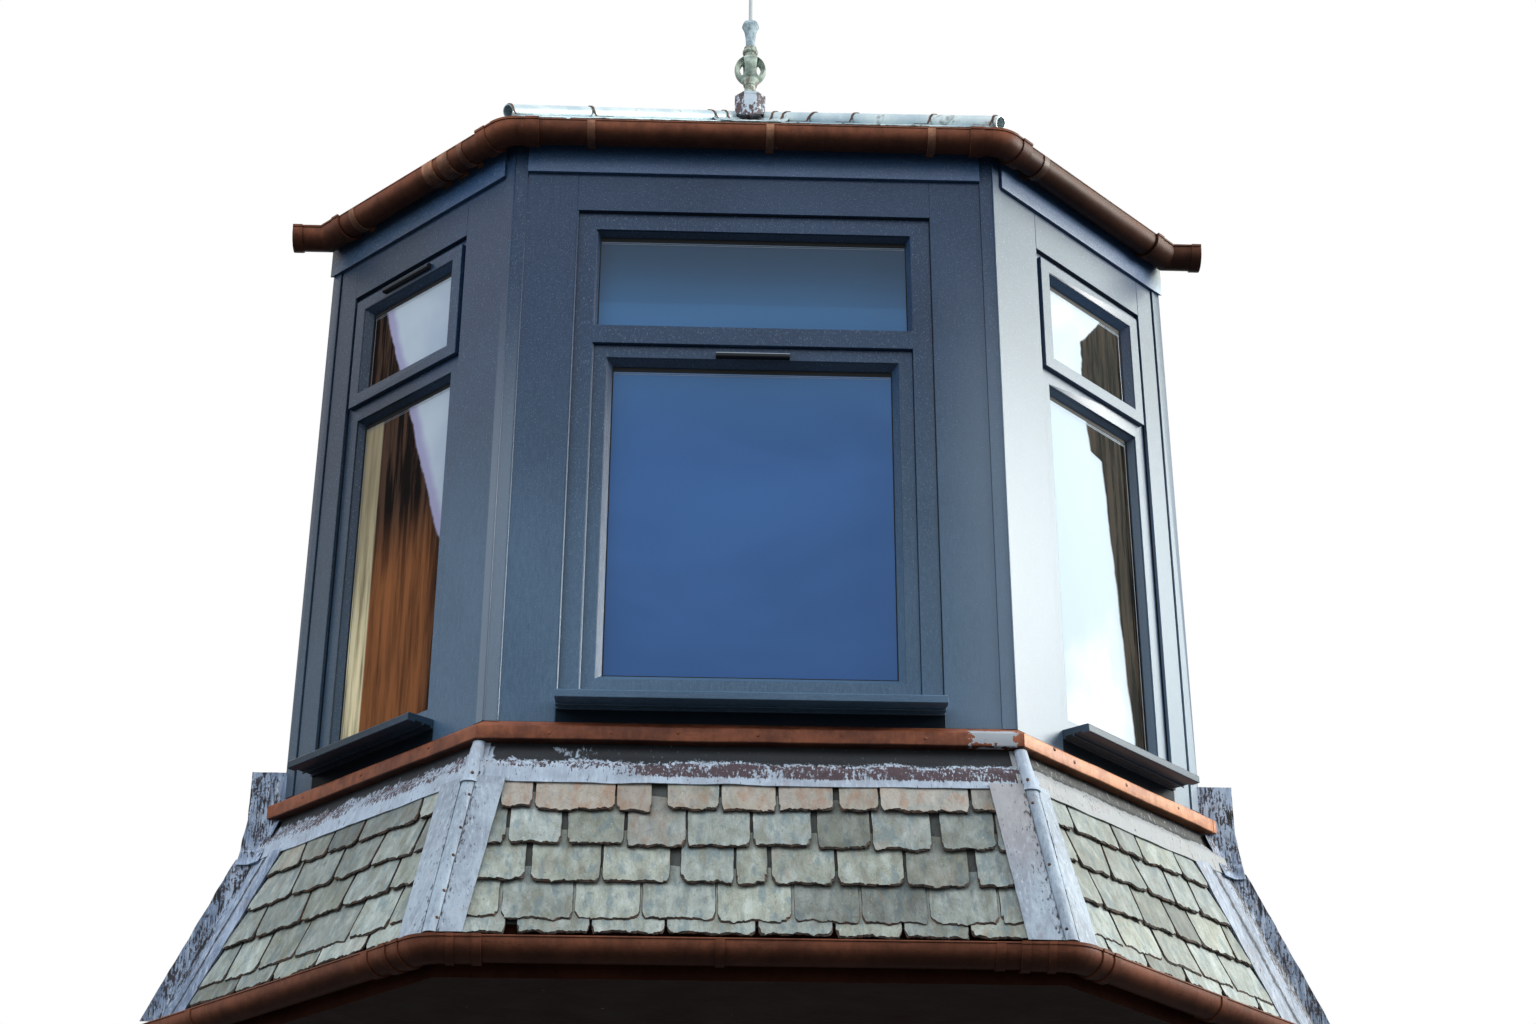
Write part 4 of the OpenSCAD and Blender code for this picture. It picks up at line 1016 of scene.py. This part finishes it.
def hip_section(side, seed, z, radius, front_wing, side_wing, over):
    """A level cut through a sheet that is dressed over the roll at a corner of the skirt: its wing
    on the front, the roll, its wing on the side and its back. The wings stand over the slates."""
    facet = RIGHT if side > 0 else LEFT
    q = skirt_q(z)
    centre = hip_point(side, q - 0.004, z)
    points, tints = [], []
    front_wing += 0.0018 * wobble(z * 14, 1, seed)
    warm = 0.1 + (0.75 * ease(z, 0.15, 0.5) if side > 0 else 0)
    # The blue tint darkens the front wing next to the roll: painted shade in the crease
    for i, dull in enumerate((0, 0, 0, 0, 0, 0, 0.04, 0.18, 0.4)):
        d = blend(front_wing, radius * 0.98, i / 8)
        dent = 0.0016 * wobble(z * 12, d * 25, seed) + 0.0012 * (1 - i / 8)
        points.append(Vector((side * (front_half(q) - d), -PROJECTION - q - over - dent, z)))
        tints.append((0.1, warm, dull))
    for i in range(15):
        a = math.radians(blend(-78, 123, i / 14))
        r = radius * (1 + 0.03 * wobble(z * 22, i * 0.35, seed + 4))
        points.append(centre + Vector((side * math.sin(a), -math.cos(a), 0)) * r)
        # Painted shade where the roll meets the wings
        tints.append((0.0, 0.0, 0.25 if i in (0, 14) else 0.0))
    side_wing += 0.003 * wobble(z * 9, 2, seed) + 0.0015 * wobble(z * 34, 3, seed)
    # Painted shade in the crease of the side wing beside the roll
    for i, dull in enumerate((0.3, 0.05, 0, 0, 0, 0, 0)):
        d = blend(radius * 0.98, side_wing, i / 6)
        lift = over + 0.0016 * wobble(z * 12, d * 25, seed + 2) + 0.0025 * (i / 6)
        points.append(facet.point(-q * MITRE + d, q + lift, z))
        tints.append((0.1, 0.1, dull))
    under = q + over - LEAD_T
    points += [facet.point(-q * MITRE + side_wing - 0.0005, under, z), centre,
               Vector((side * (front_half(q) - front_wing + 0.0005), -PROJECTION - under, z))]
    # The back of the sheet: dirty, and black with painted shade
    return points, tints + [(0.8, 0, 0.8)] * 3


def hips():
    def sheet(z):
        wings = ((0.124, blend(0.107, 0.072, ease(z, 0.09, 0.56))) if side > 0 else
                 (blend(0.093, 0.106, (z - 0.08) / 0.5), blend(0.12, 0.108, z)))
        return hip_section(side, 41.0 + side, z, 0.022, *wings, 0.0115)

    def cap(z):
        flare = 0.003 * max(0.0, 1 - 15 * (z - CAP_FOOT) / (CAP_TOP - CAP_FOOT))
        radius = blend(0.0255, 0.02, (z - 0.555) / 0.15) + flare
        over = blend(0.0095, -0.004, ease(z, 0.6, 0.665))
        return hip_section(side, 51.0 + side, z, radius, 0.036, 0.036, over)

    sheets, caps = Shape(), Shape()
    for side in (1, -1):
        sheets.climb(sheet, HIP_FOOT, 0.578, 96)
        caps.climb(cap, CAP_FOOT, CAP_TOP, 30)
    piece("lead_hip_sheets", sheets, (HIP_LEAD,), 60, "lead_hips")
    piece("apron_corner_rolls", caps, (APRON_LEAD,), 60)


def wall_section(facet, seed, z):
    """A level cut through the lead down the end of a side: a gutter-like sheet with an upstand."""
    q = skirt_q(z)
    inner = slate_end(facet, z) + 0.009 + 0.002 * wobble(z * 11, 1, seed)
    outer = SIDE_LENGTH + q - 0.0055 * WALL_SKEW
    # Black at the inner foot beside the slates' ends: painted shade
    points, tints = [facet.point(inner + 0.001, q - SLATE_BED, z)], [(0.2, 0, 0.9)]
    for j in range(13):
        k = j / 12
        bulge = 0.006 * math.sin(math.pi * ease(k, 0.0, 0.5)) - 0.004 * ease(k, 0.4, 0.7)
        dent = 0.0025 * wobble(z * 13, k * 3, seed)
        points.append(facet.point(blend(inner, outer, k), q + 0.004 + bulge + dent, z))
        # Painted shade in the crease and along the edge at the wall; dirt grows towards the wall
        crease = ease(k, 0.36, 0.46) * (1 - ease(k, 0.5, 0.6))
        edge = ease(k, 0.8, 1.0) * (0.6 + 0.5 * wobble(z * 9, 4, seed))
        tints.append((0.35 * ease(k, 0.55, 0.95), 0.35 if facet is RIGHT else 0.05,
                      max(0.0, min(1.0, 0.85 * crease + edge))))
    wall = abs(facet.point(outer, q + 0.002, z).x)
    far = wall + UPSTAND + 0.004 * wobble(z * 18, 2, seed) - 0.004
    for x in (blend(wall, far, k) for k in (0.1, 0.3, 0.55, 0.8, 1.0)):
        bumpy = 0.0016 * wobble(z * 16, x * 40, seed)
        points.append(Vector((facet.side * x, -0.0045 + bumpy, z)))
        tints.append((0.33, 0.0, max(0.0, 0.2 + 0.7 * wobble(z * 14, x * 30, seed + 6))))
    points += [Vector((facet.side * x, -0.0008, z)) for x in (far, wall - 0.01)]
    return points, tints + [DIRT_AND_PAINTED_SHADE] * 2


def upstand_section(side, seed, z):
    """A level cut through the strip on the wall beside the moulding. It runs down to a folded foot
    that laps over the end of the apron and the lower sheet."""
    far = wall_x(MOULD_OUT) + 0.056
    inner, outer = wall_x(0.006) - 0.012, far
    if z <= SKIRT_TOP:
        k = (z - UPSTAND_FOOT) / (SKIRT_TOP - UPSTAND_FOOT)
        foot_x = wall_x(skirt_q(APRON_FOOT))
        inner, outer = blend(foot_x - 0.03, wall_x(0.021) - 0.024, k), blend(foot_x + 0.047, far, k)
    outer += 0.004 * wobble(z * 21, 1, seed) - 0.003
    flare = 0.004 * (1 - ease(z, UPSTAND_FOOT, UPSTAND_FOOT + 0.014))
    clean = ease(z, UPSTAND_FOOT + 0.004, UPSTAND_FOOT + 0.03)
    points, tints = [], []
    for j in range(9):
        x = blend(inner, outer, j / 8)
        face = -0.0055 - flare - 0.003 * (z < 0.6)
        if z < SKIRT_TOP - 0.01:
            # On the slope of the apron the strip leans out over it
            face -= max(0.0, wall_x(skirt_q(z)) + 0.004 - x)
        points.append(Vector((side * x, face + 0.0015 * wobble(z * 22, j * 0.4, seed), z)))
        dull = 0.2 + 0.7 * wobble(z * 15, j * 0.7, seed + 8) + 0.5 * wobble(z * 50, j * 2, seed + 9)
        tints.append((0.33 * clean, 0.0, 0.9 * clean * min(1.0, max(0.0, dull))))
    back = -0.0055 if z < 0.58 else -0.0008
    points += [Vector((side * x, back, z)) for x in (outer, inner)]
    return points, tints + [DIRT_AND_PAINTED_SHADE] * 2


def abutments():
    shape = Shape()
    for facet, seed in ((RIGHT, 61.0), (LEFT, 67.0)):
        shape.climb(lambda z: wall_section(facet, seed, z), HIP_FOOT, 0.572, 90)
        shape.climb(lambda z: upstand_section(facet.side, seed + 3, z),
                    UPSTAND_FOOT, MOULD_TOP + 0.09, 60)
    piece("lead_abutment_sheets", shape, (WALL_LEAD,), 50, "lead_abutments")


mouldings()
aprons()
hips()
abutments()


# Nails, ties and other small fixings

HIP_NAILS = ((1, -24, (0.504, 0.29, 0.075)), (-1, -38, (0.504, 0.388, 0.293, 0.174, 0.085)))
FACE_NAILS = (
    (FRONT, ((-0.6, 0.727), (-0.417, 0.73), (-0.218, 0.734), (0.02, 0.731), (0.27, 0.735),
             (0.52, 0.73))),
    (RIGHT, ((0.132, 0.745), (0.231, 0.732), (0.5, 0.736), (0.78, 0.738))),
    (LEFT, ((0.2, 0.738), (0.52, 0.735), (0.81, 0.738))))


def nails():
    lead_nails, brown_nails = Shape(), Shape()
    for side, turn, heights in HIP_NAILS:
        heads = [(z, turn, 0.0212, 0.0052) for z in heights]
        for z, turn, reach, radius in heads + [(0.582 + 0.003 * side, -15, 0.0245, 0.0055)]:
            a = math.radians(turn)
            out = Vector((side * math.sin(a), -math.cos(a), 0.2)).normalized()
            place = hip_point(side, skirt_q(z) - 0.004, z) + out * reach
            lead_nails.dome(place, out, radius, 0.003)
    for facet, places in FACE_NAILS:
        for s, z in places:
            brown_nails.dome(facet.point(s, MOULD_OUT - 0.002, z), facet.out, 0.0065, 0.0034)
    piece("lead_nails", lead_nails, (RUST,), 60)
    piece("moulding_nails", brown_nails, (PAINT,), 60)


# How far up each roll of the roof's hips, from the eaves, and whether the strap's end stands up

ROLL_TIES = ((1, ((0.02, 0), (0.246, 0), (0.553, 0), (0.73, 1), (0.84, 0), (0.89, 0))),
             (-1, ((0.005, 0), (0.319, 1), (0.828, 0), (0.885, 0))))
ROOF_TILT = math.atan2(APEX_Z - ROOF_EDGE_Z, PROJECTION + ROOF_EDGE_Q)


def ties():
    """Thin dark straps bent over the rolls of the roof's hips and down over the zinc in front."""
    rng = random.Random(5)
    shape = Shape()
    front = Vector((0, -math.sin(ROOF_TILT), math.cos(ROOF_TILT)))
    for side, places in ROLL_TIES:
        mouth = hip_point(side, ROOF_EDGE_Q + 0.015, ROOF_EDGE_Z + 0.022)
        eave = hip_point(side, ROOF_EDGE_Q, ROOF_EDGE_Z)
        run = Vector((0, 0, APEX_Z)) - eave
        way = run.normalized()
        across = towards(way.cross(UP), Vector((0, -1, 0)))
        top = towards(across.cross(way), UP)
        down = towards(front.cross(way), Vector((-side, 0, 0)))
        for place, loose in places:
            middle = mouth + run * place
            width = 0.005 if loose else 0.004
            path = []
            for i in range(13):
                a = math.radians(blend(-80, 96, i / 12))
                reach = 0.0252 + 0.01 * loose * (i < 2)
                path.append((top * math.cos(a) + across * math.sin(a)) * reach)
            above = front.dot(middle + path[-1] - eave)
            path += [path[-1] + down * (0.085 * k / 6) + front * (0.0175 - above)
                     for k in range(1, 7)]
            rings = []
            for i, p in enumerate(path):
                skew = 0.006 * math.sin(i * 0.35 + place * 20) + rng.uniform(-0.001, 0.001)
                lift = (p.normalized() if i < 13 else front) * 0.0022
                foot = middle + way * skew + p
                rings.append([foot - way * width, foot + lift - way * width,
                              foot + lift + way * width, foot + way * width])
            shape.sweep(rings)
    piece("roll_ties", shape, (RUST,), 50)


def roof_height(x, y):
    """The height of the roof's faces over a place, without slates or sheets."""
    side_tilt = (APEX_Z - ROOF_EDGE_Z) / (WALL_HALF * math.sin(CANT) + ROOF_EDGE_Q)
    return min(APEX_Z + y * math.tan(ROOF_TILT),
               APEX_Z - (abs(x) - y) * math.sqrt(0.5) * side_tilt)


def saddle():
    """The zinc round the finial's block, dressed over the ends of the rolls, with a wavy rim."""
    shape = Shape()
    turns, reach = 64, 9
    over, thick, roll_rise, roll_reach = 0.0225, 0.004, 0.034, 0.028
    rings = []
    for i in range(turns + 1):
        a = math.radians(blend(-97, 97, i / turns))
        rim = 0.175 + 0.02 * wobble(a * 3, 1, 7.0) + 0.008 * wobble(a * 9, 2, 7.0)
        top = []
        for j in range(reach + 1):
            r = blend(BLOCK_HALF - 0.012, rim, j / reach)
            x, y = r * math.sin(a), min(-0.006, FINIAL_Y - r * math.cos(a))
            off_hip = abs(0.664 * abs(x) + 0.748 * y)
            z = roof_height(x, y) + over + roll_rise * math.exp(-(off_hip / roll_reach) ** 2)
            top.append(Vector((x, y, z + 0.003 * wobble(x * 30, y * 30, 3.0))))
        rings.append(top + [p - UP * thick for p in reversed(top)])
    shape.sweep(rings)
    piece("roof_saddle", shape, (ZINC,), 60)


nails()
ties()
saddle()


# Glazing


def box(s0, s1, z0, z1):
    return (s0, z0), (s1, z0), (s1, z1), (s0, z1)


def level_ring(shape, facet, s0, s1, z0, z1, width, q0, q1):
    """A flat ring inside a rectangle of a facet, from q0 out to q1."""
    points = [facet.point(s, q, z)
              for inner, q in ((0, q0), (0, q1), (width, q1), (width, q0))
              for s, z in box(s0 + inner, s1 - inner, z0 + inner, z1 - inner)]
    around = [(i, (i + 1) % 4) for i in range(4)]
    shape.add(points, [(4 * a + i, 4 * a + j, 4 * b + j, 4 * b + i)
                       for a, b in around for i, j in around])


def level_bar(shape, facet, s0, s1, z0, z1, q0, q1, finish=0):
    shape.sweep([[facet.point(s, q, z) for s, z in box(s0, s1, z0, z1)] for q in (q0, q1)],
                finish=finish)


# For each window its left and right edge and the middle of its panes, and for each pane half its
# width, its foot and top, and its place q

FRONT_WINDOW = (-0.589, 0.589, 0, ((0.454, 0.958, 2.053, SASH_GLASS_Q),
                                   (0.509, 2.2, 2.546, GLASS_Q)))
SIDE_WINDOW = (0.234, 0.828, 0.531, ((0.231, 0.917, 2.101, GLASS_Q),
                                     (0.212, 2.233, 2.531, SIDE_SASH_GLASS_Q)))
WINDOWS = ((FRONT, *FRONT_WINDOW), (RIGHT, *SIDE_WINDOW), (LEFT, *SIDE_WINDOW))


def glazing():
    """The black seals round each pane and window frame, those round the frames also a painted shade
    in the gap; a black bar under the top of each pane, a painted shadow; and the spacer's edges in
    each pane.
    """
    shape = Shape()
    for facet, s0, s1, _, _ in WINDOWS:
        # Seals round the window frames: black rubber, also a painted shade in the gap
        level_ring(shape, facet, s0, s1, 0.851, 2.626, 0.0045, -0.0152, -0.0112)
    for facet, s, half, z0, z1, q in [(window[0], window[3], *pane)
                                      for window in WINDOWS for pane in window[4]]:
        s0, s1, back = s - half, s + half, q - 0.001
        level_ring(shape, facet, s0, s1, z0, z1, 0.0035, back, q + 0.0016)
        # A black bar under the top bead: a painted shadow
        level_bar(shape, facet, s0 + 0.003, s1 - 0.003, z1 - 0.015, z1 - 0.003, back, q + 0.0008)
        spacers = [(s0 + 0.006, s1 - 0.006, z1 - drop - 0.0015, z1 - drop)
                   for drop in (0.0175, 0.0235)]
        if facet is not FRONT:
            spacers.append((s1 - 0.0115, s1 - 0.009, z0 + 0.005, z1 - 0.02))
        for spacer in spacers:
            level_bar(shape, facet, *spacer, back, q + 0.0004, 1)
    piece("glazing_seals_and_painted_shadows", shape, (RUBBER_AND_PAINTED_SHADOW, ALLOY))


# Edges of the front's bars that stand free on their right, and so shine in the light from there:
# their place, the face that they are on, and their foot and top

SHINING_EDGES = ((-0.587, 0, 0.782, 2.745), (-0.521, -0.019, 0.893, 2.118),
                 (-0.521, -0.019, 2.19, 2.556), (-0.474, -0.033, 0.94, 2.071),
                 (-0.76, 0.004, 0.782, 2.745), (0.587, 0, 0.782, 0.83))


def rounded_edges():
    """Strips of foil that ease the free edges of the bars."""
    shape = Shape()
    size, bend, proud = 0.0052, 0.0142, 0.0004
    for s, face, z0, z1 in SHINING_EDGES:
        outline = [(s - proud, face - size), (s - proud, face + proud)]
        outline += [(s + bend * (math.sin(a) - 0.5), face + proud + bend * (math.cos(a) - 0.866))
                    for a in map(math.radians, (30, 36, 42, 48, 54, 60))]
        outline.append((s + size, face - size))
        shape.sweep([[FRONT.point(a, q, z) for a, q in outline] for z in (z0, z1)])
    piece("rounded_edges", shape, (FOIL,), 40)


glazing()
rounded_edges()


# Stage, lights and camera


def stage_floor():
    """A floor that is pale where it is seen, and throws little light up."""
    f = Finish("floor")
    camera, glass = (f.value("ShaderNodeLightPath", f"Is {ray} Ray")
                     for ray in ("Camera", "Transmission"))
    f.base = f.mix(f.noise(0.6, 2), (0.6, 0.6, 0.59), (0.64, 0.64, 0.63))
    f.base = f.mix(camera | glass, (0.13, 0.13, 0.13), f.base)
    mesh = bpy.data.meshes.new("floor")
    half, level = 40, -3.8
    mesh.from_pydata([(x, y, level) for x, y in box(-half, half, -half, half)], [], [(0, 1, 2, 3)])
    mesh.materials.append(f.done(0.9))
    add_object("floor", mesh)


def softbox(name, place, target, size, power, colour, glossy=True, diffuse=True):
    data = bpy.data.lights.new(name, "AREA")
    data.shape = "RECTANGLE"
    data.size, data.size_y = size
    data.energy = power
    data.color = colour
    lamp = add_object(name, data)
    lamp.visible_glossy = glossy
    lamp.visible_diffuse = diffuse
    lamp.location = place
    lamp.rotation_euler = (Vector(target) - Vector(place)).to_track_quat("-Z", "Y").to_euler()


def white_world(strength):
    """A soft even sky for the light, which camera, gloss and glass see as white."""
    world = bpy.data.worlds.new("world")
    world.use_nodes = True
    bpy.context.scene.world = world
    sky = Nodes(world.node_tree)
    camera, gloss, glass = (sky.value("ShaderNodeLightPath", f"Is {ray} Ray")
                            for ray in ("Camera", "Glossy", "Transmission"))
    soft = sky.tree.nodes["Background"]
    soft.inputs["Color"].default_value = (0.93, 0.96, 1, 1)
    soft.inputs["Strength"].default_value = strength
    white = sky.value("ShaderNodeBackground", Color=(1, 1, 1, 1), Strength=1)
    mixed = sky.node("ShaderNodeMixShader")
    for i, value in enumerate((camera | gloss | glass, Value(sky, soft.outputs[0]), white)):
        sky.feed(mixed, i, value)
    sky.feed(sky.tree.nodes["World Output"], "Surface", Value(sky, mixed.outputs[0]))


def photo_camera():
    """The camera that was fitted to the photograph."""
    data = bpy.data.cameras.new("camera")
    data.lens = 59.88
    data.sensor_width = 36
    data.clip_end = 200
    camera = add_object("camera", data)
    camera.location = (-0.197, -7.771, -2.196)
    camera.rotation_euler = [math.radians(a) for a in (117.527, -0.152, -2.072)]
    bpy.context.scene.camera = camera


stage_floor()
white_world(0.52)
softbox("sky", (0, -5, 7.6), (0, -0.4, 1.5), (10, 6), 400, (0.93, 0.96, 1), False)
softbox("right", (8.9, -1.6, 4.4), (0.6, -0.6, 1.5), (3, 3), 1050, (1, 0.97, 0.92))
softbox("gloss", (8.6, 0.9, 5.2), (1, -0.45, 1.6), (3, 4.8), 300, (0.9, 1, 0.89), True, False)
softbox("gloss_high", (8.2, 0.9, 8.7), (1, -0.45, 2.4), (3, 2.6), 115, (0.87, 1, 0.9), True, False)
softbox("left", (-7, -4.5, 5), (-1, -0.5, 1.5), (4, 4), 340, (0.94, 0.97, 1), False)
photo_camera()

bpy.context.scene.view_settings.view_transform = "Standard"
